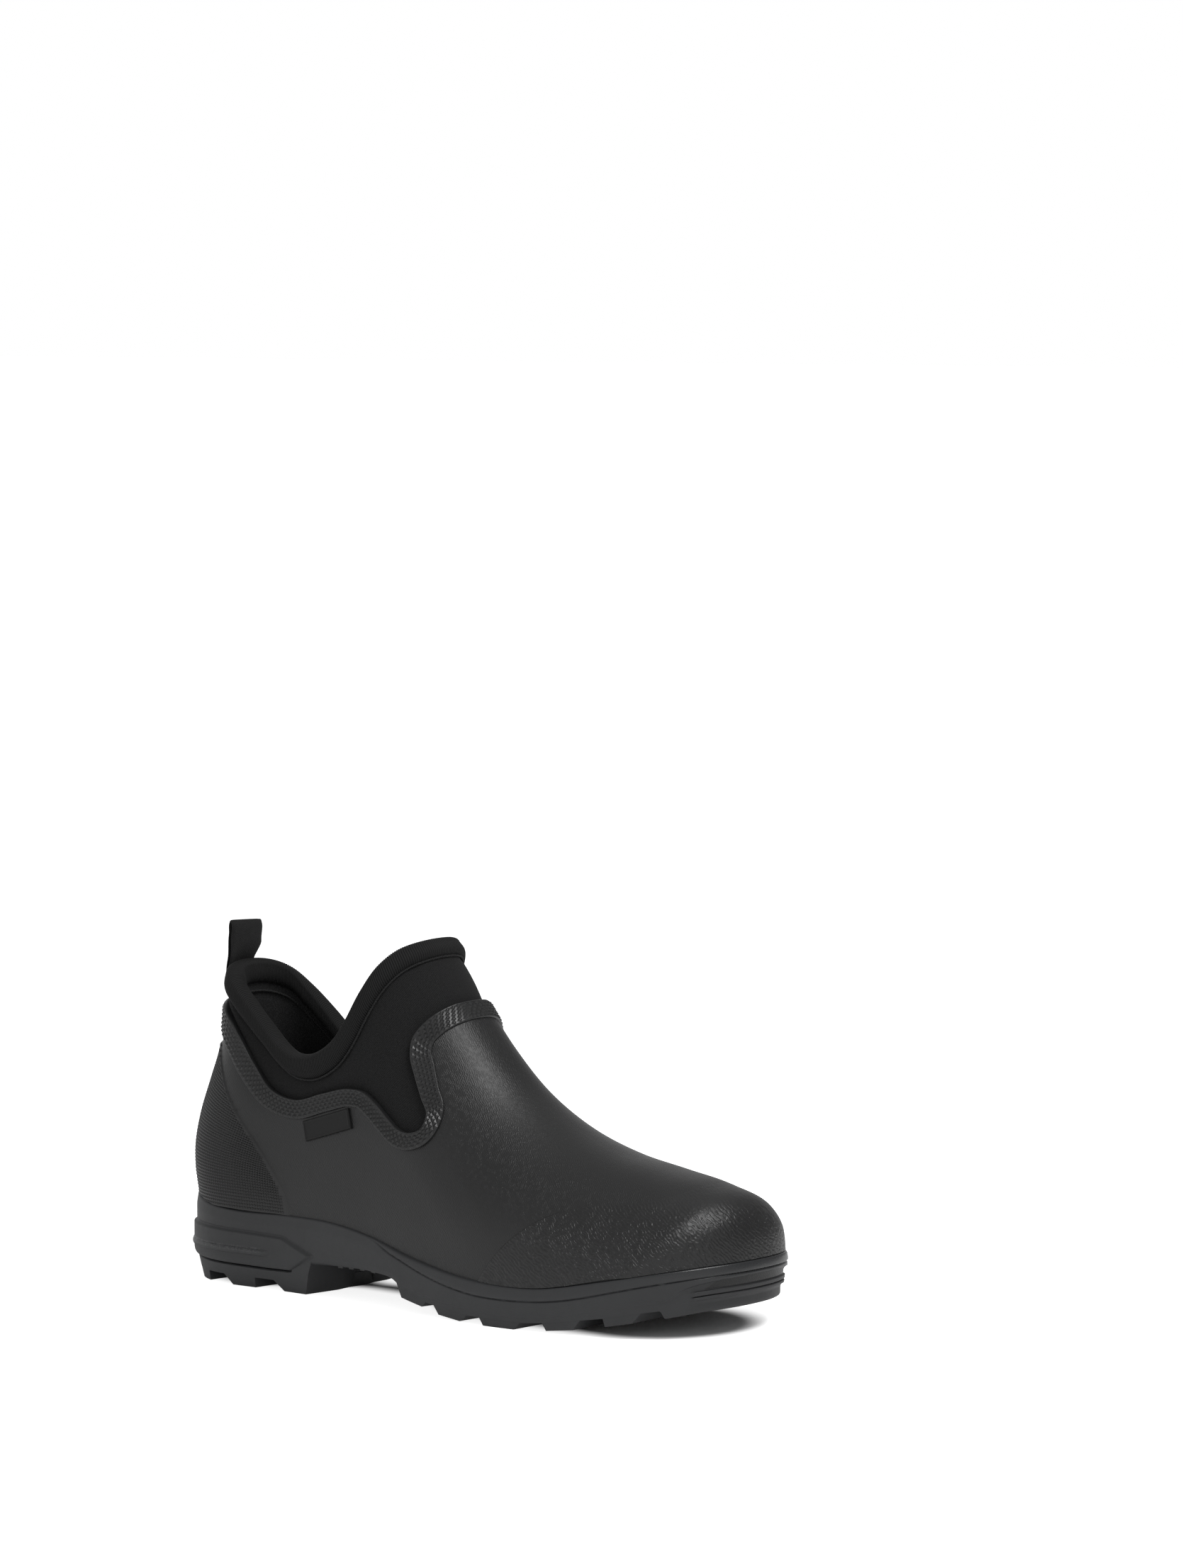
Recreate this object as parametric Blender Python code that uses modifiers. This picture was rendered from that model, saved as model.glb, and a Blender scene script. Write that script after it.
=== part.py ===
"""Rubber ankle boot with a neoprene collar, right foot, standing on its sole.

Tables and sizes are in millimetres: x runs from heel to toe, y towards the inner (medial) side, z up.
The base form is the outside of the neoprene. Every other layer of the upper is an offset of it.
"""
import bpy
import bmesh
import numpy as np

MM = 0.001
GAP = 0.3

# Place of the boot in its own frame: the middle of its box goes over the origin
MIDDLE_X = 144.2
MIDDLE_Y = 0.0

# Layers, measured outwards from the base form
NEOPRENE = 3.0
RUBBER = 1.7
OVERLAY = 1.0
BAND_HEIGHT = 1.4
SHELL_OUT = GAP + RUBBER
OVERLAY_OUT = SHELL_OUT + GAP + OVERLAY
BAND_OUT = SHELL_OUT + GAP + BAND_HEIGHT

# Mesh density of the upper
COLUMNS = 29
ROWS = 13
ROW_EASE = 1.4
COLLAR_FIRST_ROW = 6
UNDER_BINDING = (0.91, 0.94, 0.97)
EDGE_SAMPLES = 30
BAND_SAMPLES = 72
LOOP_SAMPLES = 28
OUTLINE_SAMPLES = 240
SEARCH_SAMPLES = 60
LOWER_HALF = 0.45
UPPER_HALF = 0.6

# Corners of the cutters outside the boot
ABOVE_BOOT = 190.0
BEHIND_BOOT = -20.0
AHEAD_OF_INSTEP = 170.0
AHEAD_OF_TOE = 300.0
CAP_TOP = 68.0
BESIDE_BOOT = 90.0

# Side view of the base form, rows of x and z: where it leaves the bed, back of the heel, ridge of the
# instep and top line
HEEL_FOOT = 9.3
TOE_FOOT = 282.2
HEEL_LINE = (
    (7.8, 36.0), (5.9, 46.0), (5.4, 56.0), (7.3, 69.0),
    (12.2, 86.0), (16.5, 100.0), (17.8, 112.0), (18.3, 122.0), (18.5, 132.0),
)
RIDGE_LINE = (
    (282.2, 30.0), (280.0, 42.0), (273.5, 50.5), (260.0, 56.5), (240.0, 61.0), (217.0, 66.0),
    (194.0, 74.5), (172.5, 88.0), (155.5, 104.5), (141.5, 121.5), (132.0, 135.5), (124.5, 148.0),
)
TOP_LINE = (
    (18.5, 132.0), (26.0, 128.0), (35.0, 120.5), (47.0, 110.5), (58.0, 102.5), (68.0, 98.2), (78.0, 98.2),
    (90.0, 104.0), (99.5, 115.0), (106.5, 127.5), (113.0, 138.5), (118.5, 144.5), (124.5, 148.0),
)

# Half widths of the base form at ankle height and below, its middle line and how deep its edges round
SECTION_COLUMNS = ("x", "lateral_low", "medial_low", "lateral_high", "medial_high", "middle", "round")
SECTIONS = (
    (0.0, 34.0, 33.0, 29.0, 29.0, 0.0, 36.0),
    (40.0, 34.0, 33.0, 29.0, 29.0, 0.0, 36.0),
    (80.0, 34.5, 31.5, 29.5, 28.5, -0.5, 38.0),
    (115.0, 37.5, 33.0, 31.0, 29.5, -1.0, 42.0),
    (150.0, 43.0, 38.5, 32.0, 31.0, -1.0, 46.0),
    (185.0, 47.5, 44.5, 33.0, 33.0, -0.5, 50.0),
    (215.0, 48.0, 46.5, 34.0, 34.0, 1.0, 52.0),
    (245.0, 46.5, 46.0, 34.0, 34.0, 3.5, 52.0),
    (292.0, 44.0, 43.0, 34.0, 34.0, 7.5, 50.0),
)
# How much of its half width the opening is drawn in at the rim: x, lateral and medial share
DRAWN_COLUMNS = ("x", "lateral", "medial")
DRAWN_IN = (
    (0.0, 0.0, 0.0), (18.0, 0.0, 0.0), (26.0, 0.05, 0.04), (36.0, 0.16, 0.11), (48.0, 0.18, 0.17),
    (60.0, 0.10, 0.22), (72.0, 0.03, 0.25), (85.0, 0.0, 0.23), (105.0, 0.0, 0.09), (124.0, 0.0, 0.0),
    (300.0, 0.0, 0.0),
)
DRAWN_DEPTH = 30.0
LOW_HEIGHT = 35.0
ANKLE_HEIGHT = 110.0
FULLNESS = 2.25

# Heights along the sole: rim where it meets the upper, underside between the lugs, tread
SOLE_COLUMNS = ("x", "rim", "under", "tread")
SOLE_LINES = (
    (-2.0, 34.0, 13.0, 0.0),
    (45.0, 32.8, 13.0, 0.0),
    (72.0, 32.6, 13.2, 0.0),
    (98.0, 31.9, 15.0, 0.0),
    (120.0, 28.8, 13.6, 4.0),
    (143.0, 23.5, 9.6, 2.4),
    (165.0, 19.6, 6.4, 0.7),
    (187.0, 17.4, 4.8, 0.0),
    (214.0, 17.8, 5.0, 0.0),
    (240.0, 22.4, 8.0, 2.8),
    (263.0, 27.2, 12.6, 7.2),
    (280.0, 30.0, 16.8, 11.4),
    (290.0, 30.8, 19.2, 14.0),
)
CUP_DEPTH = 9.0
CUP_GAP = 0.4
BED_GAP = 0.5
RIM_OUT = 3.7
WALL_OUT = 4.1
UNDER_OUT = 3.2
RIM_ROUND = 2.0
WALL_ROUND = 1.5
WALL_MIDDLE = 0.65
HEEL_FLARE = 1.6
HEEL_FLARE_END = 62.0

# Lugs, rows of back and front end along the lateral edge, the last being the toe
BEHIND_HEEL = -10.0
HEEL_LUGS = ((BEHIND_HEEL, 24.0), (38.0, 52.5), (66.0, 81.0))
FORE_LUGS = (
    (135.0, 151.0), (157.0, 174.5), (183.0, 203.5), (214.0, 231.0), (240.5, 256.5), (262.0, AHEAD_OF_TOE),
)
HEEL_BREAST = 84.0
HEEL_PLATE_LOW = 4.4
LUG_INSET = 1.6
HEEL_LUG_INSET = 2.9
LUG_TAPER = 1.0
LUG_SWEEP = 7.0
LUG_ROOT = 2.0
LUG_STATIONS = 7
LUG_END = 1.2
HEEL_SWEEP = 4.0
BREAST_SWEEP = 5.0

# Wavy top edge of the rubber shell from heel to instep, rows of x, z and the width of the band below it
BAND_EDGE = (
    (2.0, 121.5, 10.0), (17.5, 119.0, 10.0), (26.0, 114.5, 9.6), (36.6, 104.0, 8.6), (47.0, 93.0, 8.2),
    (58.7, 83.8, 8.0), (72.8, 81.0, 8.0), (89.3, 85.3, 8.0), (103.0, 88.3, 7.6), (111.0, 87.8, 7.4),
    (118.0, 84.7, 7.4), (126.0, 80.2, 7.4), (134.0, 76.6, 7.4), (140.0, 74.8, 7.4), (144.4, 76.4, 7.4),
    (145.0, 80.5, 7.6), (141.0, 87.5, 7.8), (135.2, 95.5, 8.0), (131.5, 103.5, 8.0), (130.8, 110.5, 8.4),
    (133.6, 117.0, 8.6), (138.2, 122.7, 8.8), (143.5, 127.0, 8.8), (155.0, 134.5, 8.8),
)

# Rear edge of the toe cap and front edge of the heel counter from the rim upwards, rows of x and z
CAP_EDGE = (
    (180.5, 10.0), (182.8, 17.4), (185.7, 21.7), (189.7, 26.8), (195.8, 33.6), (203.2, 39.8),
    (214.7, 46.3), (228.5, 49.5), (246.0, 51.3), (256.0, 53.5), (262.0, 58.0), (265.0, 68.0),
)
COUNTER_EDGE = (
    (74.5, 28.0), (73.0, 33.0), (69.4, 41.7), (60.5, 53.4), (47.4, 66.8), (35.5, 80.0),
    (28.0, 91.0), (20.0, 100.5), (10.0, 104.0), (-10.0, 105.0),
)

# Label plate on the lateral side
LABEL_MIDDLE = (92.6, 72.4)
LABEL_LENGTH = 26.5
LABEL_WIDTH = 8.6
LABEL_TILT = 17.0
LABEL_HEIGHT = 1.6

# Binding folded over the top edge of the collar: depths of its stations and its thickness
BINDING_STATIONS = (8.3, 4.4, 1.0)
BINDING_WALL = 1.3
BINDING_CROWN = 1.8
BINDING_BELLY = 0.4
BINDING_SHOULDER = 0.2

# Pull loop, rows of x and z: webbing folded on itself, both legs outside the binding at the heel
LOOP_WIDTH = 17.0
LOOP_THICK = 1.4
LOOP_PATH = (
    (13.6, 121.5), (13.5, 127.0), (13.6, 132.0), (14.4, 136.5), (16.2, 140.4), (17.3, 144.0), (17.7, 148.0),
    (19.2, 150.5), (20.7, 148.6), (20.5, 144.5), (19.2, 140.4), (16.9, 136.8), (15.6, 133.0), (15.4, 127.0),
    (15.6, 121.5),
)

INSOLE_THICK = 5.0
INSOLE_INSET = 0.6

# Red, green, blue, roughness and metallic value of each material
FINISHES = {
    "sole_rubber": (0.030, 0.032, 0.034, 0.62, 0.0),
    "shell_rubber": (0.022, 0.022, 0.023, 0.42, 0.0),
    "band_rubber": (0.026, 0.026, 0.027, 0.45, 0.0),
    "cap_rubber": (0.024, 0.024, 0.025, 0.38, 0.0),
    "counter_rubber": (0.028, 0.028, 0.029, 0.50, 0.0),
    "label_rubber": (0.020, 0.020, 0.021, 0.45, 0.0),
    "neoprene": (0.008, 0.008, 0.009, 0.90, 0.0),
    "binding_elastic": (0.010, 0.010, 0.011, 0.85, 0.0),
    "webbing": (0.012, 0.012, 0.013, 0.85, 0.0),
    "footbed_foam": (0.014, 0.014, 0.015, 0.95, 0.0),
}


def smooth(xs, ys):
    """A smooth function through a short table."""
    xs = np.asarray(xs, float)
    ys = np.asarray(ys, float)
    step = np.diff(xs)
    slope = np.diff(ys) / step
    lean = np.empty_like(ys)
    lean[1:-1] = (slope[:-1] * step[1:] + slope[1:] * step[:-1]) / (step[:-1] + step[1:])
    lean[0] = 1.5 * slope[0] - 0.5 * lean[1]
    lean[-1] = 1.5 * slope[-1] - 0.5 * lean[-2]

    def value(x):
        x = np.asarray(x, float)
        i = np.clip(np.searchsorted(xs, x) - 1, 0, len(step) - 1)
        s = np.clip((x - xs[i]) / step[i], 0.0, 1.0)
        start = (1 + 2 * s) * (1 - s) ** 2 * ys[i] + s * (1 - s) ** 2 * step[i] * lean[i]
        end = s * s * (3 - 2 * s) * ys[i + 1] + s * s * (s - 1) * step[i] * lean[i + 1]
        return start + end

    return value


def curve_through(rows):
    """A smooth curve through the rows of a table, from 0 at the first row to 1 at the last."""
    table = np.asarray(rows, float)
    run = np.r_[0, np.cumsum(np.hypot(*np.diff(table[:, :2], axis=0).T))]
    run /= run[-1]
    parts = [smooth(run, column) for column in table.T]
    return lambda t: np.stack([part(t) for part in parts], -1)


def column(table, names, name):
    """A smooth function of x through one column of a table."""
    data = np.asarray(table, float)
    return smooth(data[:, 0], data[:, names.index(name)])


rim_height = column(SOLE_LINES, SOLE_COLUMNS, "rim")
under_height = column(SOLE_LINES, SOLE_COLUMNS, "under")
tread_line = column(SOLE_LINES, SOLE_COLUMNS, "tread")
section = {name: column(SECTIONS, SECTION_COLUMNS, name) for name in SECTION_COLUMNS[1:]}
drawn_in = {name: column(DRAWN_IN, DRAWN_COLUMNS, name) for name in DRAWN_COLUMNS[1:]}


def tread_height(x):
    """Height of the lugs' lower faces, level over the heel and the ball."""
    return np.maximum(tread_line(x), 0.0)


def bed_line(t):
    """Lower edge of the upper in side view, inside the cup of the sole."""
    x = HEEL_FOOT + (TOE_FOOT - HEEL_FOOT) * np.asarray(t, float)
    return np.stack([x, rim_height(x) - CUP_DEPTH], -1)


heel_line = curve_through((tuple(bed_line(0.0)),) + HEEL_LINE)
ridge_line = curve_through((tuple(bed_line(1.0)),) + RIDGE_LINE)
top_line = curve_through(TOP_LINE)
outline = np.linspace(0, 1, OUTLINE_SAMPLES)
around_foot = (1 - np.cos(np.linspace(0, np.pi, COLUMNS))) / 2
levels = np.linspace(0, 1, ROWS) ** ROW_EASE


def distance(points, line):
    """Distance in side view from each point to a line."""
    a = line[:-1]
    d = line[1:] - a
    away = points[:, None] - a
    s = np.clip((away * d).sum(-1) / (d * d).sum(-1), 0, 1)
    return np.sqrt(((away - s[..., None] * d) ** 2).sum(-1)).min(1)


def flanks(points):
    """Lateral and medial y of the base form at side-view points."""
    flat = points.reshape(-1, 2)
    x, z = flat.T
    depth = np.minimum(distance(flat, heel_line(outline)), distance(flat, ridge_line(outline)))
    rise = np.clip((z - LOW_HEIGHT) / (ANKLE_HEIGHT - LOW_HEIGHT), 0, 1)
    rise = rise * rise * (3 - 2 * rise)
    inward = 1 - np.clip(depth / section["round"](x), 0, 1)
    bulge = (1 - inward ** FULLNESS) ** (1 / FULLNESS)
    lateral = section["lateral_low"](x) * (1 - rise) + section["lateral_high"](x) * rise
    medial = section["medial_low"](x) * (1 - rise) + section["medial_high"](x) * rise
    near_rim = 1 - np.clip(distance(flat, top_line(outline)) / DRAWN_DEPTH, 0, 1)
    near_rim = near_rim * near_rim * (3 - 2 * near_rim)
    lateral = lateral * (1 - near_rim * drawn_in["lateral"](x))
    medial = medial * (1 - near_rim * drawn_in["medial"](x))
    middle = section["middle"](x)
    shape = points.shape[:-1]
    return (middle - lateral * bulge).reshape(shape), (middle + medial * bulge).reshape(shape)


def side_point(t, v):
    """Side view of the base form: t from heel to toe, v from the bed to the top line."""
    t = np.asarray(t, float)[..., None]
    v = np.asarray(v, float)[..., None]
    along = (1 - v) * bed_line(t[..., 0]) + v * top_line(t[..., 0])
    across = (1 - t) * heel_line(v[..., 0]) + t * ridge_line(v[..., 0])
    low = (1 - t) * bed_line(0.0) + t * bed_line(1.0)
    high = (1 - t) * top_line(0.0) + t * top_line(1.0)
    return along + across - (1 - v) * low - v * high


def form(v):
    """Rings of the base form. v holds a value for each row, or a row of values for each column."""
    v = np.asarray(v, float)
    v = np.repeat(v[:, None], COLUMNS, 1) if v.ndim == 1 else v
    side = side_point(np.broadcast_to(around_foot, v.shape), v)
    lateral, medial = flanks(side)
    near = np.stack([side[..., 0], lateral, side[..., 1]], -1)
    far = np.stack([side[..., 0], medial, side[..., 1]], -1)
    return np.concatenate([near, far[:, -2:0:-1]], 1)


def outward(rings):
    """Unit normals of a stack of rings."""
    around = np.roll(rings, -1, 1) - np.roll(rings, 1, 1)
    upwards = np.gradient(rings, axis=0)
    normal = np.cross(around, upwards)
    return normal / np.linalg.norm(normal, axis=-1, keepdims=True)


def rows_at_height(height):
    """v of each column where the base form is at a height above the bed."""
    v = np.linspace(0, LOWER_HALF, SEARCH_SAMPLES)
    side = side_point(np.repeat(around_foot[None], len(v), 0), np.repeat(v[:, None], COLUMNS, 1))
    above = side[..., 1] - (rim_height(side[..., 0]) - CUP_DEPTH)
    return np.array([np.interp(height, above[:, i], v) for i in range(COLUMNS)])


def rows_below_top(depth):
    """v of each column at a distance down the surface from the top line."""
    v = np.linspace(UPPER_HALF, 1, SEARCH_SAMPLES)
    rings = form(v)[:, :COLUMNS]
    step = np.linalg.norm(np.diff(rings[::-1], axis=0), axis=-1)
    down = np.concatenate([np.zeros((1, COLUMNS)), np.cumsum(step, 0)])
    return np.array([np.interp(depth, down[:, i], v[::-1]) for i in range(COLUMNS)])


def material(name):
    red, green, blue, roughness, metallic = FINISHES[name]
    result = bpy.data.materials.new(name)
    result.use_nodes = True
    shader = result.node_tree.nodes["Principled BSDF"]
    shader.inputs["Base Color"].default_value = (red, green, blue, 1.0)
    shader.inputs["Roughness"].default_value = roughness
    shader.inputs["Metallic"].default_value = metallic
    return result


def add_mesh(name, points, faces, finish=None):
    """A named object in the boot, or a hidden cutter when it has no finish."""
    mesh = bpy.data.meshes.new(name)
    mesh.from_pydata((np.asarray(points, float) * MM).tolist(), [], faces)
    work = bmesh.new()
    work.from_mesh(mesh)
    bmesh.ops.recalc_face_normals(work, faces=work.faces)
    work.to_mesh(mesh)
    work.free()
    result = bpy.data.objects.new(name, mesh)
    if finish:
        mesh.materials.append(material(finish))
        boot.objects.link(result)
    else:
        cutters.objects.link(result)
        result.hide_render = True
        result.display_type = "WIRE"
    result.parent = place
    return result


def ring_faces(rows, count, closed=True):
    """Quads between neighbouring rings, each ring closed on itself."""
    last = count if closed else count - 1
    quads = []
    for row in range(rows - 1):
        for i in range(last):
            j = (i + 1) % count
            quads.append((row * count + i, row * count + j, (row + 1) * count + j, (row + 1) * count + i))
    return quads


def cap_faces(first, count):
    """Strips across a ring whose second half runs back beside its first."""
    half = count // 2
    strips = [(first, first + 1, first + count - 1)]
    for i in range(1, half - 1):
        strips.append((first + i, first + i + 1, first + count - i - 1, first + count - i))
    strips.append((first + half - 1, first + half, first + half + 1))
    return strips


def closed_stack(name, rings, finish=None):
    """A solid from a stack of rings, with a cap at each end."""
    rings = np.asarray(rings)
    rows, count = rings.shape[:2]
    faces = ring_faces(rows, count) + cap_faces(0, count) + cap_faces((rows - 1) * count, count)
    return add_mesh(name, rings.reshape(-1, 3), faces, finish)


def wall(name, rings, outside, thickness, finish):
    """A hollow wall: an open surface at an offset from the base form, thickened inwards."""
    surface = rings + outside * outward(rings)
    rows, count = rings.shape[:2]
    result = add_mesh(name, surface.reshape(-1, 3), ring_faces(rows, count), finish)
    thicken = result.modifiers.new("wall", "SOLIDIFY")
    thicken.thickness = thickness * MM
    thicken.offset = -1.0
    thicken.use_even_offset = True
    return result


def prism(name, corners, y_low=-BESIDE_BOOT, y_high=BESIDE_BOOT):
    """A cutter: a side-view outline drawn out across the boot."""
    corners = np.asarray(corners, float)
    count = len(corners)
    near = np.insert(corners, 1, y_low, axis=1)
    far = np.insert(corners, 1, y_high, axis=1)
    faces = ring_faces(2, count)
    faces.append(tuple(range(count)))
    faces.append(tuple(range(count, 2 * count)))
    return add_mesh(name, np.concatenate([near, far]), faces)


def cut(target, tool, operation):
    step = target.modifiers.new(tool.name, "BOOLEAN")
    step.operation = operation
    step.object = tool
    step.solver = "EXACT"


def band_edges():
    """Upper and lower edge of the band in side view."""
    rows = curve_through(BAND_EDGE)(np.linspace(0, 1, BAND_SAMPLES))
    upper = rows[:, :2]
    along = np.gradient(upper, axis=0)
    along /= np.linalg.norm(along, axis=1, keepdims=True)
    down = np.stack([along[:, 1], -along[:, 0]], -1)
    return upper, upper + down * rows[:, 2:]


def above_rim(table):
    """The part of an overlay's edge that clears the rim of the sole."""
    edge = curve_through(table)(np.linspace(0, 1, EDGE_SAMPLES))
    return edge[edge[:, 1] > rim_height(edge[:, 0]) + 2 * GAP]


def make_shell():
    """Rubber shell of the upper, cut along its wavy edge."""
    shell = wall("rubber_upper", form(levels), SHELL_OUT, RUBBER, "shell_rubber")
    upper = band_edges()[0]
    corners = [(AHEAD_OF_INSTEP, ABOVE_BOOT), (BEHIND_BOOT, ABOVE_BOOT), (BEHIND_BOOT, upper[0][1])]
    cut(shell, prism("above_shell", np.concatenate([upper, corners])), "DIFFERENCE")


def make_band():
    """Raised band on the shell along its edge."""
    band = wall("top_band", form(levels), BAND_OUT, BAND_HEIGHT, "band_rubber")
    upper, lower = band_edges()
    cut(band, prism("band_outline", np.concatenate([upper, lower[::-1]])), "INTERSECT")


def make_cap():
    """Toe cap, down to the rim of the sole."""
    cap = wall("toe_cap", form(levels), OVERLAY_OUT, OVERLAY, "cap_rubber")
    upper = above_rim(CAP_EDGE)
    foot = np.linspace(AHEAD_OF_TOE, upper[0][0] - GAP, EDGE_SAMPLES)
    rim = np.stack([foot, rim_height(foot) + GAP], -1)
    cut(cap, prism("cap_outline", np.concatenate([upper, [(AHEAD_OF_TOE, CAP_TOP)], rim])), "INTERSECT")


def make_counter():
    """Heel counter, from the rim of the sole to below the band."""
    counter = wall("heel_counter", form(levels), OVERLAY_OUT, OVERLAY, "counter_rubber")
    upper = above_rim(COUNTER_EDGE)
    foot = np.linspace(upper[-1][0], upper[0][0] + GAP, EDGE_SAMPLES)
    rim = np.stack([foot, rim_height(foot) + GAP], -1)
    cut(counter, prism("counter_outline", np.concatenate([rim, upper])), "INTERSECT")


def make_label():
    """Small plate on the lateral side, under the band."""
    outside = SHELL_OUT + GAP + LABEL_HEIGHT
    label = wall("label_patch", form(levels), outside, LABEL_HEIGHT, "label_rubber")
    tilt = np.radians(LABEL_TILT)
    along = np.array([np.cos(tilt), np.sin(tilt)]) * LABEL_LENGTH / 2
    across = np.array([-np.sin(tilt), np.cos(tilt)]) * LABEL_WIDTH / 2
    middle = np.array(LABEL_MIDDLE)
    corners = [middle + a * along + b * across for a, b in ((-1, -1), (1, -1), (1, 1), (-1, 1))]
    cut(label, prism("label_outline", corners, y_high=0.0), "INTERSECT")


def make_collar():
    """Neoprene sleeve inside the shell, up to the top line."""
    rows = np.r_[levels[COLLAR_FIRST_ROW:-1], UNDER_BINDING, 1.0]
    wall("neoprene_collar", form(rows), 0.0, NEOPRENE, "neoprene")


def make_binding():
    """Elastic binding: a channel over the top edge of the collar."""
    stations = np.array([rows_below_top(depth) for depth in BINDING_STATIONS] + [np.ones(COLUMNS)])
    rings = form(stations)
    normal = outward(rings)
    crown = np.array([0.0, 0.0, 1.0])
    lip = GAP
    outer = GAP + BINDING_WALL
    lining = -NEOPRENE - GAP
    inner = lining - BINDING_WALL
    outer_crown = BINDING_SHOULDER * outer
    inner_crown = lining - BINDING_SHOULDER * BINDING_WALL
    steps = (
        (0, lip, 0.0), (0, outer, 0.0), (1, outer + BINDING_BELLY, 0.0), (2, outer, 0.0),
        (3, outer_crown, BINDING_CROWN), (3, inner_crown, BINDING_CROWN),
        (2, inner, 0.0), (1, inner - BINDING_BELLY, 0.0), (0, inner, 0.0), (0, lining, 0.0),
        (1, lining, 0.0), (3, lining, GAP), (3, lip, GAP), (1, lip, 0.0),
    )
    points = np.array([rings[row] + out * normal[row] + up * crown for row, out, up in steps])
    rows, count = points.shape[:2]
    faces = ring_faces(rows, count)
    for i in range(count):
        j = (i + 1) % count
        faces.append(((rows - 1) * count + i, (rows - 1) * count + j, j, i))
    add_mesh("collar_binding", points.reshape(-1, 3), faces, "binding_elastic")


def make_loop():
    """Pull loop at the back of the collar."""
    path = curve_through(LOOP_PATH)(np.linspace(0, 1, LOOP_SAMPLES))
    along = np.gradient(path, axis=0)
    along /= np.linalg.norm(along, axis=1, keepdims=True)
    side = np.stack([along[:, 1], -along[:, 0]], -1) * LOOP_THICK / 2
    sections = []
    for y, sign in ((-1, -1), (-1, 1), (1, 1), (1, -1)):
        edge = path + sign * side
        sections.append(np.insert(edge, 1, y * LOOP_WIDTH / 2, axis=1))
    rings = np.array(sections).swapaxes(0, 1)
    faces = ring_faces(len(rings), 4) + [(0, 1, 2, 3)]
    last = 4 * (len(rings) - 1)
    faces.append((last, last + 1, last + 2, last + 3))
    add_mesh("pull_loop", rings.reshape(-1, 3), faces, "webbing")


def plan_ring(out, height, level=CUP_DEPTH):
    """A ring round the sole: the base form's outline at a level, moved out in plan, at heights over x."""
    rim = form(rows_at_height(level)[None])[0]
    around = np.roll(rim, -1, 0) - np.roll(rim, 1, 0)
    away = np.stack([around[:, 1], -around[:, 0], np.zeros(len(rim))], -1)
    away /= np.linalg.norm(away, axis=1, keepdims=True)
    ring = rim + out(rim[:, :1]) * away
    ring[:, 2] = height(ring[:, 0])
    return ring


def flare(x):
    """How far the heel stands out behind the rest of the wall."""
    back = np.clip(1 - x / HEEL_FLARE_END, 0, 1)
    return HEEL_FLARE * back * back * (3 - 2 * back)


def edge_of_sole(inset):
    """Lateral and medial edge of the tread as functions of x."""
    ring = plan_ring(lambda x: UNDER_OUT + flare(x) - inset, under_height)
    near = ring[:COLUMNS]
    far = np.concatenate([ring[:1], ring[:COLUMNS - 2:-1]])
    ends_y = (near[0, 1], near[-1, 1])
    return smooth(near[:, 0], near[:, 1]), smooth(far[:, 0], far[:, 1]), near[0, 0], near[-1, 0], ends_y


def lug(name, back, front, low, high, sweep, inset):
    """A bar across the sole between two places along its edge, narrower at the ground."""
    rings = []
    for level, shrink in ((low, LUG_TAPER), (high, 0.0)):
        lateral, medial, heel, toe, ends_y = edge_of_sole(inset + shrink)
        start = max(back + shrink, heel + LUG_END)
        end = min(front - shrink, toe - LUG_END)
        x = np.linspace(start, end, LUG_STATIONS)
        near = np.stack([x, lateral(x), level(x)], -1)
        far = np.stack([x, medial(x), level(x)], -1)
        tips = np.array([heel if back < heel else start + sweep, toe if front > toe else end + sweep])
        tip_start, tip_end = np.stack([tips, [ends_y[0], ends_y[1]], level(tips)], -1)[:, None]
        rings.append(np.concatenate([tip_start, near, tip_end, far[::-1]]))
    return closed_stack(name, rings)


def make_sole():
    """Cup sole: rim and wall round the upper, a bed inside, heel and lugs beneath."""
    cup = SHELL_OUT + CUP_GAP

    def wall_middle(x):
        return under_height(x) * (1 - WALL_MIDDLE) + rim_height(x) * WALL_MIDDLE

    def buried(x):
        return under_height(x) + LUG_ROOT

    def plate_low(x):
        return np.full_like(np.asarray(x, float), HEEL_PLATE_LOW)

    def plate_high(x):
        return plate_low(x) + LUG_ROOT

    rings = [
        plan_ring(lambda x: UNDER_OUT + flare(x), under_height),
        plan_ring(lambda x: WALL_OUT + flare(x), lambda x: under_height(x) + WALL_ROUND),
        plan_ring(lambda x: WALL_OUT + flare(x), wall_middle),
        plan_ring(lambda x: WALL_OUT, lambda x: rim_height(x) - RIM_ROUND),
        plan_ring(lambda x: RIM_OUT, rim_height),
        plan_ring(lambda x: cup, rim_height),
        plan_ring(lambda x: cup, lambda x: rim_height(x) - CUP_DEPTH - BED_GAP, 0.0),
    ]
    sole = closed_stack("outsole", rings, "sole_rubber")
    plate = lug("heel_plate", BEHIND_HEEL, HEEL_BREAST, plate_low, buried, BREAST_SWEEP, LUG_INSET)
    cut(sole, plate, "UNION")
    for number, (back, front) in enumerate(HEEL_LUGS):
        bar = lug(f"heel_lug_{number}", back, front, tread_height, plate_high, HEEL_SWEEP, HEEL_LUG_INSET)
        cut(sole, bar, "UNION")
    for number, (back, front) in enumerate(FORE_LUGS):
        bar = lug(f"fore_lug_{number}", back, front, tread_height, buried, LUG_SWEEP, LUG_INSET)
        cut(sole, bar, "UNION")


def make_insole():
    """Footbed on the bed of the sole, inside the shell."""
    rings = form(np.array([rows_at_height(GAP), rows_at_height(GAP + INSOLE_THICK)]))
    closed_stack("insole", rings - INSOLE_INSET * outward(rings), "footbed_foam")


for old in list(bpy.data.objects):
    bpy.data.objects.remove(old, do_unlink=True)

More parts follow.
